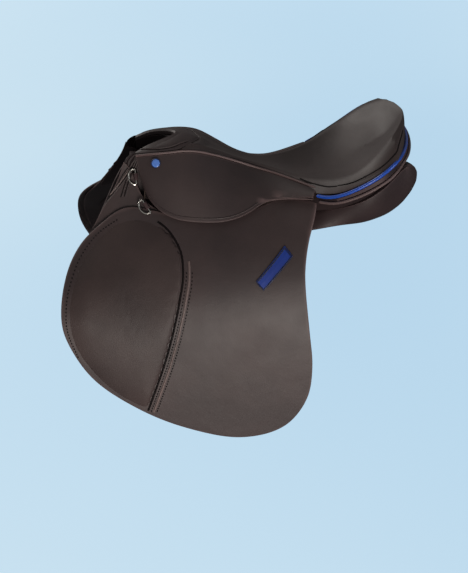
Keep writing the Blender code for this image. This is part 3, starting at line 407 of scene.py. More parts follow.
# %% [markdown]
# At the rear the flap's top corner stands out past the end of the skirt, because the leather isn't cut
# away where the gusset hides its seam. The copy's corner is drawn out to that point. By hand this would
# be a move with proportional editing, and the eased share does the same in numbers.

# %% Top corner of the flaps
CORNER_OUT = 0.008
CORNER_FRONT, CORNER_REACH = 0.080, 0.033
CORNER_FOOT, CORNER_HEIGHT = -0.03, 0.07
for tag in SIDES:
    flap = paired[f"flap_{tag}"]
    for vertex in flap.data.vertices:
        rearward = ease((vertex.co.x - CORNER_FRONT) / CORNER_REACH)
        upward = ease((vertex.co.z - CORNER_FOOT) / CORNER_HEIGHT)
        vertex.co.x += CORNER_OUT * (rearward * upward)
    flap.data.update()
print("corner drawn out", CORNER_OUT)

# %% [markdown]
# The skirt is one leather on the real saddle: sewn under the seat, and bent where it lifts. The CAD has
# it in two solids with a slit between. Here both copies are joined, the slit's edges are merged and the
# walls inside it are taken out, so that the skin runs smoothly over the fold. It is then parted again
# at the same line, into the upper and the lower half.

# %% Joining and parting a skirt
SLIT_REACH, SKIRT_RIM, SKIRT_ANGLE = 0.0016, 0.0013, math.radians(50)


def joined_skirt(tag, lower_finish):
    """Both solids of a skirt as one skin, with the slit between them closed."""
    upper = copy_of(f"seat_side_{tag}", f"seat_side_{tag}_copy", bridle_brown)
    lower = copy_of(f"skirt_{tag}", f"skirt_{tag}_copy", lower_finish)
    only(upper)
    lower.select_set(True)
    bpy.ops.object.join()
    bpy.ops.object.mode_set(mode="EDIT")
    bpy.ops.mesh.select_all(action="SELECT")
    bpy.ops.mesh.remove_doubles(threshold=SLIT_REACH)
    bpy.ops.mesh.select_all(action="DESELECT")
    bpy.ops.mesh.select_interior_faces()
    bpy.ops.mesh.delete(type="FACE")
    bpy.ops.object.mode_set(mode="OBJECT")
    apply(upper, "BEVEL", width=SKIRT_RIM, segments=2, limit_method="ANGLE", angle_limit=SKIRT_ANGLE)
    mark_rim(upper)
    subdivide(upper, 2)
    bpy.ops.object.shade_smooth()
    return upper


def parted_by_finish(piece):
    """The piece cut where its finish changes: each part under its finish's name."""
    only(piece)
    bpy.ops.object.mode_set(mode="EDIT")
    bpy.ops.mesh.select_all(action="SELECT")
    bpy.ops.mesh.separate(type="MATERIAL")
    bpy.ops.object.mode_set(mode="OBJECT")
    return {half.data.materials[0].name: half for half in bpy.context.selected_objects}

# %% Skirts
FOLD_FRONT, FOLD_REAR = Vector((-0.160, 0.068, 0.108)), Vector((0.112, 0.116, 0.086))
FOLD_WIDTH = 0.016


def fold_of(side):
    """The middle of the fold, and the way down across it."""
    front, rear = [Vector((p.x, side * p.y, p.z)) for p in (FOLD_FRONT, FOLD_REAR)]
    way = (rear - front).normalized()
    down = Vector((0, side * 0.7, -0.7))
    return (front + rear) / 2, (down - down.dot(way) * way).normalized()


def whole_skirt(tag):
    """The joined skirt, parted at its fold into the upper and the lower half."""
    lower_finish = bridle_brown.copy()
    halves = parted_by_finish(joined_skirt(tag, lower_finish))
    top, bottom = halves[bridle_brown.name], halves[lower_finish.name]
    bottom.data.materials[0] = bridle_brown
    bpy.data.materials.remove(lower_finish)
    fold, down = fold_of(SIDES[tag])
    above, below = fold - down * FOLD_WIDTH, fold + down * FOLD_WIDTH
    flap_body, skirt_body = f"lifting_flap_{tag}", f"lifting_skirt_{tag}"
    for piece, node, a, b, start, end in (
            (top, f"seat_side_{tag}", "saddle", flap_body, above, fold),
            (bottom, f"skirt_{tag}", flap_body, skirt_body, fold, below)):
        piece.name = f"{node}_dressed"
        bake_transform(piece)
        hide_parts(node)
        paired[node] = piece
    print("skirt", tag, len(top.data.polygons), "+", len(bottom.data.polygons), "faces")


for tag in SIDES:
    whole_skirt(tag)

# %% [markdown]
# The rigid pieces keep their CAD shape: the wooden tree, the steel plates and bars, the rings, and the
# blue stud and plate, which are left plain. They could be rounded as the leathers are, but their edges
# are crisp on a real saddle and most of them are hidden, so they only get their finish.

# %% Rigid pieces
def finish_node(node, finish):
    """Gives a CAD node its finish."""
    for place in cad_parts[node].material_slots:
        place.material = finish


for node in ("tree_rails", "head_arch"):
    finish_node(node, tree_wood)
for node in ("head_plate", "gullet_plate"):
    finish_node(node, japanned_steel)
for tag in SIDES:
    for stem, finish in (("stirrup_bar", satin_steel), ("bar_catch", satin_steel), ("dee_ring_upper", nickel),
                         ("dee_ring_lower", nickel), ("head_stud", stud_blue), ("name_plate", tag_blue)):
        finish_node(f"{stem}_{tag}", finish)
print("rigid nodes", len(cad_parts) - len(middle) - len(paired))

# %% [markdown]
# Behind the knee pad the real flap has, from front to back: a deep dark groove, a row of stitches, a
# raised ridge and a second row. Along the front runs one more row, inside the edge. All of them are
# places on the side of the saddle, in millimetres, and are smoothed to an even line. A Bezier curve
# could hold them as well, but a plain list can be moved sideways by an exact distance.

# %% Lines on the flap
GROOVE = ((-140, 36), (-128, 29), (-116.8, 19), (-106.1, 4.6), (-101, -10.1), (-100.4, -34.5),
          (-105.5, -60.6), (-112.5, -92), (-122.5, -132), (-136, -178.5), (-150, -220), (-164.5, -262))
PAD_FRONT = ((-164.5, -262), (-186, -252), (-216, -231), (-247, -198), (-275, -156), (-289, -116),
             (-291, -84), (-287, -56), (-274, -24), (-258, -2), (-236, 18), (-206, 36), (-170, 42),
             (-140, 36))
BORDER_PART, BORDER_OUT = slice(4, 12), 1.2


def eased(line, steps=14):
    """The line as a smooth run through its places (Catmull-Rom)."""
    ends = [line[0], *line, line[-1]]
    run = []
    for a, b, c, d in zip(ends, ends[1:], ends[2:], ends[3:]):
        for t in (k / steps for k in range(steps)):
            run.append(tuple(0.5 * (2 * q + (r - p) * t + (2 * p - 5 * q + 4 * r - s) * t ** 2
                                    + (3 * q - p - 3 * r + s) * t ** 3) for p, q, r, s in zip(a, b, c, d)))
    return run + [line[-1]]


def shifted(line, by):
    """The line moved sideways, to the rear where by is positive."""
    moved = []
    for k, (x, z) in enumerate(line):
        a, b = line[max(k - 1, 0)], line[min(k + 1, len(line) - 1)]
        way = Vector((b[0] - a[0], b[1] - a[1])).normalized()
        moved.append((x - way.y * by, z + way.x * by))
    return moved


groove, pad_front = eased(GROOVE), eased(PAD_FRONT)
border = shifted(eased(PAD_FRONT[BORDER_PART]), BORDER_OUT)
print("groove places", len(groove), "pad front places", len(pad_front))

# %% [markdown]
# The knee area is foam under the flap's own skin. It has no edge of its own in front or above: it only
# swells out of the flap, and drops steeply into the groove behind. So the pad is a fine grid, cut to
# its outline, dropped on the flap and lifted, with its rim sunk into the leather. Cloth then inflates
# it between its held rim, which gives the slight unevenness that no formula has.

# %% Cutting a grid to an outline
def crossings(spot, outline):
    """How often a line to the right of the spot crosses the outline."""
    count = 0
    for (ax, az), (bx, bz) in zip(outline, outline[1:] + outline[:1]):
        if (az > spot[1]) != (bz > spot[1]) and spot[0] < ax + (spot[1] - az) * (bx - ax) / (bz - az):
            count += 1
    return count


def far_from(spot, line):
    """Distance of a spot from a run of places, in their own unit."""
    return min((Vector(spot) - Vector(q)).length for q in line)


def cut_grid(name, outline, step):
    """A flat grid in x and y inside an outline, with step as its cell."""
    low = [min(p[k] for p in outline) for k in (0, 1)]
    size = [max(p[k] for p in outline) - low[k] for k in (0, 1)]
    bpy.ops.object.select_all(action="DESELECT")
    bpy.ops.mesh.primitive_grid_add(x_subdivisions=round(size[0] / step),
                                    y_subdivisions=round(size[1] / step), size=1)
    piece = bpy.context.object
    piece.name = name
    for vertex in piece.data.vertices:
        vertex.co = (low[0] + (vertex.co.x + 0.5) * size[0], low[1] + (vertex.co.y + 0.5) * size[1], 0)
    bpy.ops.object.mode_set(mode="EDIT")
    bpy.ops.mesh.select_all(action="DESELECT")
    bpy.ops.object.mode_set(mode="OBJECT")
    for vertex in piece.data.vertices:
        vertex.select = crossings(vertex.co.xy, outline) % 2 == 0
    bpy.ops.object.mode_set(mode="EDIT")
    bpy.ops.mesh.delete(type="VERT")
    bpy.ops.object.mode_set(mode="OBJECT")
    return piece

# %% Inflating with Cloth
PUFF_FRAMES = 20


def inflate(piece, held, pressure, cap):
    """Runs Cloth with a held group, and keeps no point further away than the cap."""
    before = [v.co.copy() for v in piece.data.vertices]
    only(piece)
    cloth = piece.modifiers.new("cloth", "CLOTH")
    cloth.settings.use_pressure = True
    cloth.settings.uniform_pressure_force = pressure
    cloth.settings.effector_weights.gravity = 0
    cloth.settings.vertex_group_mass = held
    cloth.point_cache.frame_start = 1
    cloth.point_cache.frame_end = PUFF_FRAMES
    for frame_number in range(1, PUFF_FRAMES + 1):
        bpy.context.scene.frame_set(frame_number)
    bpy.ops.object.modifier_apply(modifier=cloth.name)
    bpy.context.scene.frame_set(1)
    moves = []
    for vertex, start in zip(piece.data.vertices, before):
        move = vertex.co - start
        moves.append(move.length)
        if move.length > cap:
            vertex.co = start + move.normalized() * cap
    print("puffed", piece.name, "mean", round(sum(moves) / len(moves), 5), "most", round(max(moves), 5))

# %% Laying the pad on the flap
PAD_RISE, PAD_SINK = 4.6, 1.0
PAD_SOFT, PAD_STEEP = 36.0, 9.0
OUTSIDE, NEAR_SIDE = 0.4, 0.2         # metres from the midline, past the flap and about level with it


def shoulder(share):
    """0 at the edge and 1 inside, round between like the edge of a cushion."""
    return math.sin(min(share, 1) * math.pi / 2)


def lay_pad(piece, flap, side):
    """Drops the points of a flat grid on the flap and lifts them to the pad's height."""
    for vertex in piece.data.vertices:
        x, z = vertex.co.xy
        soft = shoulder(far_from((x, z), pad_front) / PAD_SOFT)
        steep = shoulder(far_from((x, z), groove) / PAD_STEEP)
        hit, place, normal, _ = flap.ray_cast(Vector((x / 1000, side * OUTSIDE, z / 1000)),
                                              Vector((0, -side, 0)))
        if not hit:
            beside = Vector((x / 1000, side * NEAR_SIDE, z / 1000))
            hit, place, normal, _ = flap.closest_point_on_mesh(beside)
        vertex.co = place + normal * (PAD_RISE * soft * steep - PAD_SINK) / 1000


def face_one_way(piece):
    """Turns the faces of a sheet to one side."""
    only(piece)
    bpy.ops.object.mode_set(mode="EDIT")
    bpy.ops.mesh.select_all(action="SELECT")
    bpy.ops.mesh.normals_make_consistent(inside=False)
    bpy.ops.object.mode_set(mode="OBJECT")

# %% Knee pads
PAD_STEP, PAD_BACK = 4.0, 3.0
PAD_PRESSURE, PUFF_CAP = 8.0, 0.0022


def knee_pad(tag):
    """The padded front of one flap."""
    side = SIDES[tag]
    piece = cut_grid(f"knee_pad_{tag}_dressed", groove + pad_front[1:-1], PAD_STEP)
    lay_pad(piece, paired[f"flap_{tag}"], side)
    face_one_way(piece)
    bpy.ops.object.mode_set(mode="EDIT")
    bpy.ops.mesh.select_all(action="DESELECT")
    bpy.ops.mesh.select_non_manifold()
    bpy.ops.object.mode_set(mode="OBJECT")
    middle_normal = piece.data.polygons[len(piece.data.polygons) // 2].normal
    if middle_normal.y * side < 0:
        piece.data.flip_normals()
    rim = [v.index for v in piece.data.vertices if v.select]
    piece.vertex_groups.new(name="held").add(rim, 1.0, "REPLACE")
    inflate(piece, "held", PAD_PRESSURE, PUFF_CAP)
    apply(piece, "SMOOTH", factor=0.5, iterations=3, vertex_group="held", invert_vertex_group=True)
    subdivide(piece, 1)
    apply(piece, "SOLIDIFY", thickness=PAD_BACK / 1000, offset=-1)
    bpy.ops.object.shade_smooth()
    piece.data.materials.append(pad_hide)
    paired[f"knee_pad_{tag}"] = hang(piece, f"lifting_flap_{tag}", f"knee_pad_{tag}")
    print(piece.name, len(piece.data.polygons), "faces")


for tag in SIDES:
    knee_pad(tag)

# %% [markdown]
# Saddle stitching is a row of short, thick threads. One stitch is modelled and copied along a line,
# and each copy is dropped on the leather from outside, so it lies on the surface and turns with it. A
# texture could draw the thread, but only a solid one catches the light.
# The holes in the girth straps are made by the same helper, as flat discs.

# %% One stitch and one hole
def stamp(name, sides, radius, depth, rim, turn=0.0):
    """A small cylinder with a bevelled rim, to be copied along a line."""
    bpy.ops.object.select_all(action="DESELECT")
    bpy.ops.mesh.primitive_cylinder_add(vertices=sides, radius=radius, depth=depth, rotation=(0, turn, 0))
    piece = bpy.context.object
    piece.name = name
    bpy.ops.object.transform_apply(location=True, rotation=True, scale=True)
    bpy.ops.object.mode_set(mode="EDIT")
    bpy.ops.mesh.select_all(action="SELECT")
    bpy.ops.mesh.bevel(offset=rim, segments=1, affect="EDGES")
    bpy.ops.object.mode_set(mode="OBJECT")
    print(name, len(piece.data.polygons), "faces")
    return piece


one_stitch = stamp("one_stitch", 6, 0.0011, 0.0027, 0.0003, math.pi / 2)
one_hole = stamp("one_hole", 12, 0.0021, 0.0006, 0.00015)

# %% Setting a row
STITCH_LIFT = 0.0002


def along(line, pitch):
    """Points at even steps along a line of (x, z) places in millimetres, each with its heading."""
    points = [Vector((x, 0, z)) / 1000 for x, z in line]
    placed, left = [], 0.0
    for a, b in zip(points, points[1:]):
        length = (b - a).length
        while left < length:
            placed.append((a.lerp(b, left / length), (b - a).normalized()))
            left += pitch
        left -= length
    return placed


def stamp_on(name, shape, place, normal, heading):
    """One copy of a small shape, lying on a surface and turned along its heading."""
    forward = (heading - heading.dot(normal) * normal).normalized()
    turn = Matrix((forward, normal.cross(forward), normal)).transposed().to_4x4()
    copy = bpy.data.objects.new(name, shape.data.copy())
    copy.data.transform(Matrix.Translation(place + normal * STITCH_LIFT) @ turn)
    bpy.context.scene.collection.objects.link(copy)
    return copy


def set_row(name, shape, line, on, tag, body, pitch, finish):
    """A row of copies of a small shape on the outer side of a piece."""
    side = SIDES[tag]
    made = []
    for spot, heading in along(line, pitch):
        hit, place, normal, _ = on.ray_cast(Vector((spot.x, side * OUTSIDE, spot.z)), Vector((0, -side, 0)))
        if hit:
            made.append(stamp_on(name, shape, place, normal, heading))
    only(made[0])
    for copy in made:
        copy.select_set(True)
    bpy.ops.object.join()
    row = bpy.context.object
    row.name = name
    row.data.materials.append(finish)
    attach(row, body)
    print(name, len(made), "copies")

# %% [markdown]
# A bead is leather drawn over a cord and sewn down beside it. It could be a bevelled ridge in the flap
# itself, but a curve with a round section is laid on the surface faster and can be moved alone. The
# same tool makes the dark groove behind the knee pad, and later the seams and folds.

# %% Beads
DROP_REACH = 0.2


def on_surface(points, on, away):
    """Drops points on one or more pieces, coming from the side that away points to."""
    found = []
    for point in points:
        way = away(point) if callable(away) else away
        best = None
        for piece in on:
            hit, place, normal, _ = piece.ray_cast(point + way * DROP_REACH, -way)
            if hit and (best is None or (place - best[0]).dot(way) > 0):
                best = (place, normal)
        if best:
            found.append(best)
    return found


def smooth_extra(piece, finish, body):
    """Finishes the picked piece, which stands for no node but rides on a body."""
    bpy.ops.object.shade_smooth()
    piece.data.materials.append(finish)
    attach(piece, body)


def bead(name, points, on, away, body, radius, sink, finish):
    """A round cord that follows points on some pieces, sunk into them by some depth."""
    curve = bpy.data.curves.new(name, "CURVE")
    curve.dimensions = "3D"
    curve.bevel_depth = radius
    curve.bevel_resolution = 3
    curve.use_fill_caps = True
    spots = on_surface(points, on, away)
    line = curve.splines.new("POLY")
    line.points.add(len(spots) - 1)
    for place, (spot, normal) in zip(line.points, spots):
        place.co = (*(spot + normal * (radius - sink)), 1)
    cord = bpy.data.objects.new(name, curve)
    bpy.context.scene.collection.objects.link(cord)
    only(cord)
    bpy.ops.object.convert(target="MESH")
    smooth_extra(bpy.context.object, finish, body)
    print(name, len(spots), "points")


def at_side(line, side, out):
    """Places (x, z) in millimetres as points this far out, in metres."""
    return [Vector((x / 1000, side * out, z / 1000)) for x, z in line]

# %% Groove, ridge and rows
STITCH_PITCH = 0.0051
ROW_START, RIDGE_START = 66, 58       # how many places of the eased groove come before them
# The groove bead's near-black is painted shade in the groove, and the ridge's lighter hide is a painted
# highlight.
FLAP_BEADS = (("groove", 0.5, 0.0022, 0.0033, seam_shade, 0),
              ("ridge", 10.6, 0.0023, 0.0035, painted_highlight_hide, RIDGE_START))
FLAP_ROWS = (("front", shifted(groove, 5.9)[ROW_START:]), ("rear", shifted(groove, 15.4)[ROW_START:]),
             ("border", border))
for tag, side in SIDES.items():
    flap, body, slot = paired[f"flap_{tag}"], f"lifting_flap_{tag}", f"flap_{tag}"
    for name, by, radius, sink, finish, first in FLAP_BEADS:
        places = at_side(shifted(groove, by), side, NEAR_SIDE)[first:]
        bead(f"{name}_{tag}", places, [flap], Vector((0, side, 0)), body, radius, sink, finish)
    for name, line in FLAP_ROWS:
        set_row(f"stitches_{name}_{tag}", one_stitch, line, flap, tag, body, STITCH_PITCH, thread_and_crease_shade)

# %% [markdown]
# The girth buckles into a row of punched holes in each strap. A real hole could be cut with a Boolean,
# but the straps are dark and lie under the flap, so a thin dark disc on the leather reads as well and
# leaves the strap's mesh clean. The disc's near-black is painted shade inside the hole. The discs swing
# with their strap.

# %% Holes in the girth straps
HOLE_TOP, HOLE_FOOT, HOLE_PITCH = -120, -262, 0.024
STRAP_PLACES = {"front": -44, "middle": -4, "rear": 36}
for tag in SIDES:
    for place, x in STRAP_PLACES.items():
        node = f"girth_strap_{place}_{tag}"
        set_row(f"holes_{place}_{tag}", one_hole, [(x, HOLE_TOP), (x, HOLE_FOOT)], paired[node], tag,
                f"strap_{place}_{tag}", HOLE_PITCH, seam_shade)
for shape in (one_stitch, one_hole):
    bpy.data.objects.remove(shape, do_unlink=True)

# %% [markdown]
# The skirt's free edge is turned over a thin cord, which shows as a soft double line along its bottom.
# The cord lies a few millimetres inside the edge and rides with the part of the skirt that lifts. The
# leather could be rolled round it in the mesh, but a bead sunk into the skirt shows the same line.

# %% Edge of the skirt
SKIRT_EDGE = ((-153, 84, 70), (-136, 98, 56), (-112, 110, 47.5), (-84, 117, 45), (-50, 121, 45),
              (-22, 119, 47), (4, 111, 53), (25, 100, 62))
EDGE_INSIDE = 4.5
for tag, side in SIDES.items():
    away = Vector((0, side * 0.75, 0.66))
    edge = [Vector((x, side * (y - EDGE_INSIDE), z + EDGE_INSIDE)) / 1000 for x, y, z in eased(SKIRT_EDGE)]
    bead(f"skirt_edge_{tag}", edge, [paired[f"skirt_{tag}"]], away, f"lifting_skirt_{tag}", 0.0014, 0.0018,
         bridle_brown)

# %% [markdown]
# Several leathers of a saddle are narrow sheets sewn between two lines: the folds at the front of the
# head, the lining inside its notch, the gusset over the piping and the lining under the cantle. Each is
# a grid drawn through lines of places, given a thickness and smoothed. A bought saddle has them cut
# from flat hide, so a grid between two curves is close to how they are made.

# %% Drawing a strip between two lines
def strip(name, lines, side, thickness, finish, body):
    """A leather sheet through lines of places in millimetres, the first line being its front."""
    rows, columns = len(lines), len(lines[0])
    bpy.ops.object.select_all(action="DESELECT")
    bpy.ops.mesh.primitive_grid_add(x_subdivisions=columns - 1, y_subdivisions=rows - 1, size=1)
    piece = bpy.context.object
    piece.name = name
    grid = sorted(piece.data.vertices, key=lambda v: (round(v.co.y, 4), round(v.co.x, 4)))
    for vertex, (x, y, z) in zip(grid, [p for line in lines for p in line]):
        vertex.co = Vector((x, side * y, z)) / 1000
    subdivide(piece, 2)
    face_one_way(piece)
    apply(piece, "SOLIDIFY", thickness=thickness, offset=0)
    apply(piece, "BEVEL", width=thickness * 0.3, segments=2, limit_method="ANGLE",
          angle_limit=math.radians(50))
    smooth_extra(piece, finish, body)
    print(name, len(piece.data.polygons), "faces")


def mean_line(first, last, share, out=(0, 0, 0)):
    """A line between two lines of places, moved by some step."""
    return [tuple(a + (b - a) * share + step for a, b, step in zip(p, q, out)) for p, q in zip(first, last)]

# %% [markdown]
# Ahead of the skirt the leathers of the head run down in folds, from the tip of the facing to the
# panel, as one pleated sheet. Its darker hide is painted shade in the folds. They lie behind the upper
# ring, so that it can swing. Cloth would fall into folds by itself, but never into this many at this
# place, so every second line is pushed out.

# %% Folds of the head
FOLD_DEPTH, FOLD_COUNT = 1.3, 10
HEAD_EDGE = ((-177, 35.5, 133), (-190, 37, 125.5), (-194, 39, 116), (-191, 41.5, 105), (-186, 44, 94))
HEAD_BACK = ((-162, 42, 127), (-166, 44, 117), (-168, 46, 106), (-168, 48, 95), (-167, 50, 84))
folds = []
for k in range(FOLD_COUNT + 1):
    swing = FOLD_DEPTH * (-1) ** k
    folds.append(mean_line(HEAD_EDGE, HEAD_BACK, k / FOLD_COUNT, (-0.5 * swing, swing, 0)))
for tag, side in SIDES.items():
    strip(f"head_folds_{tag}", folds, side, 0.0016, dark_hide_and_shade, "saddle")

# %% [markdown]
# Inside the notch the facing is turned down and its lining reaches the panels, so that neither the
# tree nor its steel shows. It hangs as a short curtain round the edge, and its darker hide is painted
# shade in the hollow of the notch. Extruding the facing's own edge would do it too, but a strip of its
# own can have the darker hide.

# %% Lining of the notch
NOTCH_TOP = ((-177, 33, 126), (-165, 28, 132), (-154, 25, 136), (-142, 20.5, 139), (-131, 16.5, 142),
             (-121, 10, 144), (-116, 0, 144.5))
NOTCH_FOOT = ((-176, 34, 108), (-166, 30, 104), (-155, 31, 106), (-144, 32, 112), (-133, 27, 120),
              (-127, 15, 128), (-125, -0.5, 132))
curtain = [NOTCH_TOP, mean_line(NOTCH_TOP, NOTCH_FOOT, 0.5, (0, -0.8, 0)), NOTCH_FOOT]
for tag, side in SIDES.items():
    strip(f"notch_lining_{tag}", curtain, side, 0.0014, dark_hide_and_shade, "saddle")

# %% [markdown]
# Between the cover's lower seam and the blue piping lies a gusset, wide at the side and gone at the
# back. Under the welt a lining closes the cantle down to the panels. A short seam tape backs the welt
# of each skirt, where the covers only meet edge to edge. They could be bridged between the CAD's own
# edges, but those are many short ones, and a few places give a calmer line.

# %% Cantle leathers
COVER_SEAM = ((92, 58, 89), (108, 72, 91), (124, 88, 93), (155, 116, 103), (188, 131, 118),
              (218, 135.5, 137), (244, 119, 154), (263, 62, 161), (271, -0.5, 163))
PIPING_TOP = ((92, 72, 79), (108, 90, 81), (123, 106, 85), (155, 127, 94), (186, 136.5, 112),
              (216, 140, 132.5), (243, 126, 149), (267, 66, 156), (275, -0.5, 156.5))
WELT_FOOT = ((94, 84, 62), (110, 98, 64), (125, 109, 74), (157, 128, 81), (187, 137.5, 96.5),
             (217, 142, 116), (248, 123, 136), (274, 66, 143), (281, -0.5, 143))
LINING_FOOT = ((94, 84, 52), (110, 92, 50), (126, 98, 52), (157, 112, 62), (187, 122, 78),
               (217, 126, 98), (240, 112, 117), (268, 60, 112), (274, -0.5, 106))
SEAM_LINE = ((-174, 38.5, 131), (-158, 44, 135), (-140, 47, 138), (-118, 48, 140), (-100, 46, 141.5),
             (-72, 42, 138.6), (-40, 30, 125.2), (-8, 20, 110.2), (28, 22, 98.0), (56, 34, 94.0),
             (88, 58, 91.9), (121, 88, 90.9))
gusset = [COVER_SEAM, mean_line(COVER_SEAM, PIPING_TOP, 0.5, (1, 2, 0)),
          mean_line(PIPING_TOP, PIPING_TOP, 0, (-0.8, -1.6, 0.4))]
corner = [PIPING_TOP[:4], mean_line(PIPING_TOP[:4], WELT_FOOT[:4], 0.5, (0, -1, 0)), WELT_FOOT[:4]]
lining = [WELT_FOOT, mean_line(WELT_FOOT, LINING_FOOT, 0.5, (-2, -2, 0)), LINING_FOOT]
tape = [[(x, y + a, z + b) for x, y, z in SEAM_LINE] for a, b in ((-4, 0.2), (0, -2.6), (5, -5.2))]
for tag, side in SIDES.items():
    for name, lines, thickness, finish, slot in (
            ("cantle_gusset", gusset, 0.0016, bridle_brown, "cantle_facing"),
            ("cantle_corner", corner, 0.0016, dark_hide_and_shade, "cantle_facing"),
            ("cantle_lining", lining, 0.0014, dark_hide_and_shade, f"panel_{tag}"),
            ("seam_tape", tape, 0.0012, dark_hide_and_shade, f"seat_welt_{tag}")):
        strip(f"{name}_{tag}", lines, side, thickness, finish, "saddle")

# %% [markdown]
# The facing and the cover meet edge to edge over the head, which on the real saddle is one skin. A thin
# overlay lies over that joint: it is dropped on both, smoothed across the slit, and its rim is sunk, so
# that it has no edge to see. Merging the two copies, as with the skirts, would mix their finishes.

# %% Skin over the head
HEAD_SKIN = ((-146, 0), (-103, 0), (-112, 13), (-124, 22), (-140, 30), (-150, 35), (-150, 40),
             (-136, 42), (-116, 43.5), (-100, 41.5), (-86, 38), (-72, 34), (-60, 26), (-52, 14),
             (-48, 0))
SKIN_STEP, SKIN_RISE, SKIN_SINK, SKIN_SOFT = 2.5, 1.9, 0.7, 13.0
SKIN_CROSSING, SKIN_PLAIN = 1.5, 0.13     # mm past the midline, and the height where nothing lies under it
ABOVE = 0.3


def under(x, y):
    """The highest place of cover and facing under a spot, with its normal."""
    best = None
    for node in ("pommel_facing", "seat_cover"):
        hit, place, normal, _ = middle[node].ray_cast(Vector((x, y, ABOVE)), Vector((0, 0, -1)))
        if hit and (best is None or place.z > best[0].z):
            best = (place, normal)
    return best or (Vector((x, y, SKIN_PLAIN)), Vector((0, 0, 1)))


def head_skin(tag):
    """One half of the overlay, from the midline to the welt."""
    side = SIDES[tag]
    rim = eased(HEAD_SKIN[1:], 6)
    outline = [(x, y - SKIN_CROSSING) if y < 1 else (x, y) for x, y in rim + [HEAD_SKIN[1]]]
    piece = cut_grid(f"head_skin_{tag}", outline, SKIN_STEP)
    for vertex in piece.data.vertices:
        x, y = vertex.co.xy
        place, normal = under(x / 1000, side * y / 1000)
        lift = SKIN_RISE * shoulder(far_from((x, max(y, 0)), rim) / SKIN_SOFT)
        vertex.co = place + normal * (lift - SKIN_SINK) / 1000
    face_one_way(piece)
    if piece.data.polygons[len(piece.data.polygons) // 2].normal.z < 0:
        piece.data.flip_normals()
    apply(piece, "SMOOTH", factor=0.5, iterations=4)
    subdivide(piece, 1)
    apply(piece, "SOLIDIFY", thickness=0.0012, offset=-1)
    smooth_extra(piece, bridle_brown, "saddle")
    print(piece.name, len(piece.data.polygons), "faces")


for tag in SIDES:
    head_skin(tag)

# %% [markdown]
# The sweat flap shows only its front edge, as two light lines with a dark crease between. The three
# lines are beads of different finish that run side by side: the lighter edge line is a painted highlight
# and the crease's near-black is painted shade. A loop cut with a bevel could give them, but the flap's
# edge has no clean loops to follow.

# %% Edges of the sweat flap
SWEAT_EDGE = ((-185, 126), (-196, 106), (-207, 87), (-226, 57), (-250, 16))
SWEAT_WAY = (0.87, 0.3)               # the way inward from the edge, in x and z
SWEAT_BEADS = (("edge", 1, 0.0011, 0.0009, painted_highlight_hide), ("crease", 4.5, 0.0012, 0.0018, seam_shade),
               ("bead", 8, 0.0012, 0.0009, welt_hide))
for tag, side in SIDES.items():
    away = Vector((-0.25, side * 0.8, 0.5)).normalized()
    for name, by, radius, sink, finish in SWEAT_BEADS:
        line = [(x + by * SWEAT_WAY[0], z + by * SWEAT_WAY[1]) for x, z in eased(SWEAT_EDGE)]
        bead(f"sweat_{name}_{tag}", at_side(line, side, 0.06), [paired[f"sweat_flap_{tag}"]], away, "saddle",
             radius, sink, finish)

# %% [markdown]
# Three long folds run down from the head over the sweat flap, where the leather is drawn tight at its
# corner. Each is a dark crease with a soft roll behind it, and the crease's near-black is painted shade.
# They could be pressed into the mesh, but two thin beads side by side keep the mesh plain and follow the
# surface by themselves.

# %% Long folds ahead of the skirt
FOLD_LINES = (((-176, 125.6), (-183, 101.5), (-187, 80), (-189, 61)),
              ((-178, 128.4), (-188, 101), (-192, 80), (-195, 60)),
              ((-181, 128), (-197, 100), (-205, 80), (-213, 62)))
ROLL_BEHIND = Vector((0.0022, 0, 0.0004))
for tag, side in SIDES.items():
    away = Vector((-0.35, side * 0.85, 0.35)).normalized()
    leathers = [bpy.data.objects[f"head_folds_{tag}"], paired[f"sweat_flap_{tag}"]]
    for number, places in enumerate(FOLD_LINES):
        shade = at_side(eased(places), side, 0.05)
        roll = [point + ROLL_BEHIND for point in shade]
        # The shade bead is painted shade in the crease; the roll behind it is leather.
        for name, points, radius, sink, finish in (("shade", shade, 0.0010, 0.0015, thread_and_crease_shade),
                                                   ("roll", roll, 0.0014, 0.0018, welt_hide)):
            bead(f"fold_{name}_{number}_{tag}", points, leathers, away, "saddle", radius, sink, finish)

# %% [markdown]
# Under the swollen brow the cover is sewn to the gusset, and the brow's shadow falls there as a dark
# line. A bead that lies mostly inside both leathers leaves just that line, as painted shade. It is
# dropped from the middle of the seat outward, because no one direction meets a curved cantle squarely
# all the way round.

# %% Painted shade under the brow
BROW_SEAM_SHADE = ((97, 62, 93.4), (113, 78, 93), (130, 94, 95.4), (145, 107, 100), (177, 126, 115),
             (209, 133, 135), (235, 127, 152.5), (254, 97, 168), (262, 60, 176))


def from_seat(point):
    """The way out of the seat's middle, a little upward."""
    return Vector((point.x - BROW_CENTRE.x, point.y - BROW_CENTRE.y, 0.03)).normalized()


for tag, side in SIDES.items():
    points = [Vector((x, side * y, z)) / 1000 for x, y, z in eased(BROW_SEAM_SHADE, 8)]
    leathers = [middle["seat_cover"], bpy.data.objects[f"cantle_gusset_{tag}"]]
    bead(f"brow_seam_shade_{tag}", points, leathers, from_seat, "saddle", 0.0014, 0.0021, seam_shade)

# %% [markdown]
# Over the head the cover is sewn to the facing with one seam, and its leather rises in a low roll beside
# it. Both are beads dropped from above: the dark one is the seam and the brown one the roll. A groove
# cut with a Boolean would have to cross three pieces.

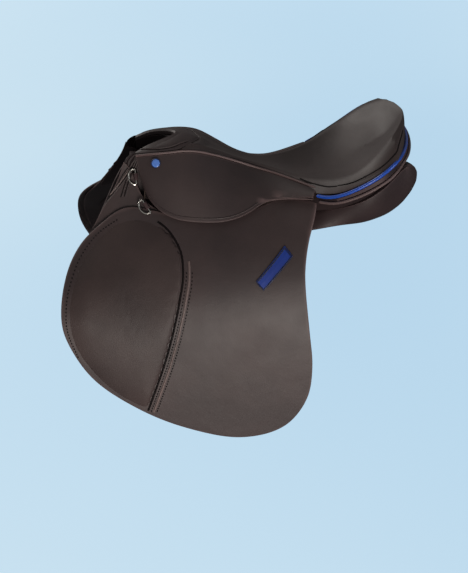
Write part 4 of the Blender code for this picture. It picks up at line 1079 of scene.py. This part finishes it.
# %% Seam over the head
HEAD_SEAM = ((-166, 34), (-162.5, 35.8), (-147, 40.6), (-128.8, 42.6), (-112.3, 40), (-97.9, 32.6),
             (-88, 26))
HEAD_LEVEL = 130
HEAD_BEADS = (("seam", 0, 0.0010, 0.0016, seam_shade), ("roll", -2.0, 0.0014, 0.0018, bridle_brown))
for tag, side in SIDES.items():
    covers = [middle["pommel_facing"], middle["seat_cover"], bpy.data.objects[f"head_skin_{tag}"]]
    for name, by, radius, sink, finish in HEAD_BEADS:
        points = [Vector((x, side * (y + by), HEAD_LEVEL)) / 1000 for x, y in eased(HEAD_SEAM, 8)]
        bead(f"head_{name}_{tag}", points, covers, Vector((0, 0, 1)), "saddle", radius, sink, finish)

# %% [markdown]
# The stud and the plate have a thin dark rim, as a piece of enamel has in its frame. Round the raised
# plate the dark rim is also painted shadow. An inset and an extrude could raise it, but the CAD solids
# are left alone. So the stud's rim is a torus turned to the stud's own face, and the plate's follows its
# four edges as one bead, with a place every few millimetres, so that it bends with the plate.

# %% Rim of the stud
RIM_RADIUS, RIM_THICKNESS = 0.0074, 0.0009


def facing_out(node):
    """Middle and outward direction of a flat-topped CAD node."""
    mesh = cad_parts[node].data
    middle_of = sum((v.co for v in mesh.vertices), Vector()) / len(mesh.vertices)
    total = Vector()
    for face in mesh.polygons:
        if face.normal.y * middle_of.y > 0:
            total += face.normal * face.area
    return middle_of, total.normalized()


for tag in SIDES:
    place, out = facing_out(f"head_stud_{tag}")
    bpy.ops.object.select_all(action="DESELECT")
    bpy.ops.mesh.primitive_torus_add(major_radius=RIM_RADIUS, minor_radius=RIM_THICKNESS, major_segments=40,
                                     minor_segments=8)
    ring = bpy.context.object
    ring.name = f"stud_rim_{tag}"
    ring.data.transform(Matrix.Translation(place) @ out.to_track_quat("Z", "Y").to_matrix().to_4x4())
    smooth_extra(ring, navy_edge, "saddle")
    print(ring.name, "at", tuple(round(c, 4) for c in place))

# %% Rim of the plate
PLATE_CENTRE, PLATE_SIZE, PLATE_ANGLE = (49, -16), (67, 15), math.radians(46)
EDGE_PLACES = 12
CORNERS = ((1, 1), (-1, 1), (-1, -1), (1, -1), (1, 1))
corners = [(a * PLATE_SIZE[0] / 2, b * PLATE_SIZE[1] / 2) for a, b in CORNERS]
plate_edge = []
for (a, b), (c, d) in zip(corners, corners[1:]):
    for t in (k / EDGE_PLACES for k in range(EDGE_PLACES)):
        u, v = a + (c - a) * t, b + (d - b) * t
        plate_edge.append((PLATE_CENTRE[0] + u * math.cos(PLATE_ANGLE) - v * math.sin(PLATE_ANGLE),
                           PLATE_CENTRE[1] + u * math.sin(PLATE_ANGLE) + v * math.cos(PLATE_ANGLE)))
for tag, side in SIDES.items():
    points = at_side(plate_edge + plate_edge[:1], side, NEAR_SIDE)
    bead(f"plate_border_{tag}", points, [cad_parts[f"name_plate_{tag}"]], Vector((0, side, 0)),
         f"lifting_flap_{tag}", 0.0012, 0.0010, navy_edge)

# %% [markdown]
# The room is a wide pale blue floor, far enough below that the shadow is soft. The camera sees mostly
# the floor's own colour, and the rest of the paint takes the light and keeps the shadow. A slow
# diagonal change runs through the colour, as on a lit paper backdrop. A brighter lamp could make a
# plain floor as pale, but it would wash out the saddle too.

# %% Colour of the floor
BAND_TURN, BAND_SCALE = math.radians(34), 0.22
FADE_START, FADE_END = 2.5, 7.0       # metres from the middle


def drifting_blue(tree):
    """Two pale blues in broad slanting bands, which fade to one even blue further out."""
    place = tree.nodes.new("ShaderNodeTexCoord").outputs["Object"]
    turned = tree.nodes.new("ShaderNodeMapping")
    turned.inputs["Rotation"].default_value = (0, 0, BAND_TURN)
    tree.links.new(place, turned.inputs["Vector"])
    wave = noise(tree, turned.outputs["Vector"], BAND_SCALE, 1)
    bands = between(tree, wave, (0.36, 0.62), (tint(184, 216, 238), tint(208, 231, 244)))
    away = tree.nodes.new("ShaderNodeVectorMath")
    away.operation = "LENGTH"
    tree.links.new(place, away.inputs[0])
    fade = tree.nodes.new("ShaderNodeMapRange")
    fade.inputs["From Min"].default_value = FADE_START
    fade.inputs["From Max"].default_value = FADE_END
    tree.links.new(away.outputs["Value"], fade.inputs["Value"])
    even = tree.nodes.new("ShaderNodeMix")
    even.data_type = "RGBA"
    tree.links.new(fade.outputs["Result"], even.inputs[MIX_SHARE])
    tree.links.new(bands, even.inputs[MIX_FIRST])
    even.inputs[MIX_SECOND].default_value = tint(204, 230, 247)
    return even.outputs[MIX_RESULT]

# %% Floor
FLOOR_WIDTH, FLOOR_LEVEL = 60, -0.9
GLOW, GLOW_SHARE = 1.2, 0.8


def backdrop_paint():
    """Pale blue paint: the camera sees mostly its colour, everything else a plain grey matt floor."""
    paint = bpy.data.materials.new("backdrop_paint")
    paint.use_nodes = True
    tree = paint.node_tree
    matt = tree.nodes["Principled BSDF"]
    matt.inputs["Roughness"].default_value = 0.9
    matt.inputs["Base Color"].default_value = tint(96, 98, 102)
    glow = tree.nodes.new("ShaderNodeEmission")
    glow.inputs["Strength"].default_value = GLOW
    tree.links.new(drifting_blue(tree), glow.inputs["Color"])
    ray = tree.nodes.new("ShaderNodeLightPath")
    share = tree.nodes.new("ShaderNodeMath")
    share.operation = "MULTIPLY"
    share.inputs[1].default_value = GLOW_SHARE
    tree.links.new(ray.outputs["Is Camera Ray"], share.inputs[0])
    mix = tree.nodes.new("ShaderNodeMixShader")
    tree.links.new(share.outputs[0], mix.inputs[0])
    tree.links.new(matt.outputs[0], mix.inputs[1])
    tree.links.new(glow.outputs[0], mix.inputs[2])
    tree.links.new(mix.outputs[0], tree.nodes["Material Output"].inputs["Surface"])
    return paint


bpy.ops.object.select_all(action="DESELECT")
bpy.ops.mesh.primitive_plane_add(size=FLOOR_WIDTH, location=(0, 0, FLOOR_LEVEL))
floor = bpy.context.object
floor.name = "floor"
floor.data.materials.append(backdrop_paint())
print("floor", floor.name, "at", FLOOR_LEVEL)

# %% [markdown]
# Three soft lamps and a dim even world. The front lamp stands low, because the broad flap throws
# its soft sheen only from there, while the skirt and the top of the flap face up and stay dark. The
# second lamp stands behind the far side and gives the bowl of the seat its light. The third stands to
# the rear and draws the highlights on the brow of the cantle and on the end of the panel.

# %% Lamps
# name, place, size, power, colour, and the place that it is aimed at
LAMPS = (("front_lamp", (0.2, -2.3, -0.34), (0.62, 1.0), 50, (1, 0.93, 0.86), (-0.05, 0, -0.08)),
         ("seat_lamp", (-1.6, 1.35, 1.25), (1.2, 1.2), 34, (1, 0.95, 0.9), (0.15, 0, 0.1)),
         ("side_lamp", (2.1, -1.2, 0.5), (1.0, 1.0), 13, (0.95, 0.97, 1), (0.2, 0, 0.1)))
for name, place, (wide, high), power, colour, aim in LAMPS:
    bpy.ops.object.light_add(type="AREA", location=place)
    lamp = bpy.context.object
    lamp.name = name
    lamp.data.shape = "RECTANGLE"
    lamp.data.size = wide
    lamp.data.size_y = high
    lamp.data.energy = power
    lamp.data.color = colour
    lamp.rotation_euler = (Vector(aim) - Vector(place)).to_track_quat("-Z", "Y").to_euler()

# %% World
AIR_LIGHT = 0.24
world = bpy.data.worlds.new("studio")
bpy.context.scene.world = world
world.use_nodes = True
tree = world.node_tree
lit_air = tree.nodes["Background"]
lit_air.inputs["Color"].default_value = tint(246, 244, 242)
lit_air.inputs["Strength"].default_value = AIR_LIGHT
seen_air = tree.nodes.new("ShaderNodeBackground")
seen_air.inputs["Color"].default_value = tint(200, 226, 242)
ray = tree.nodes.new("ShaderNodeLightPath")
pick = tree.nodes.new("ShaderNodeMixShader")
tree.links.new(ray.outputs["Is Camera Ray"], pick.inputs[0])
tree.links.new(lit_air.outputs[0], pick.inputs[1])
tree.links.new(seen_air.outputs[0], pick.inputs[2])
tree.links.new(pick.outputs[0], tree.nodes["World Output"].inputs["Surface"])
print("world", world.name, "light", AIR_LIGHT)
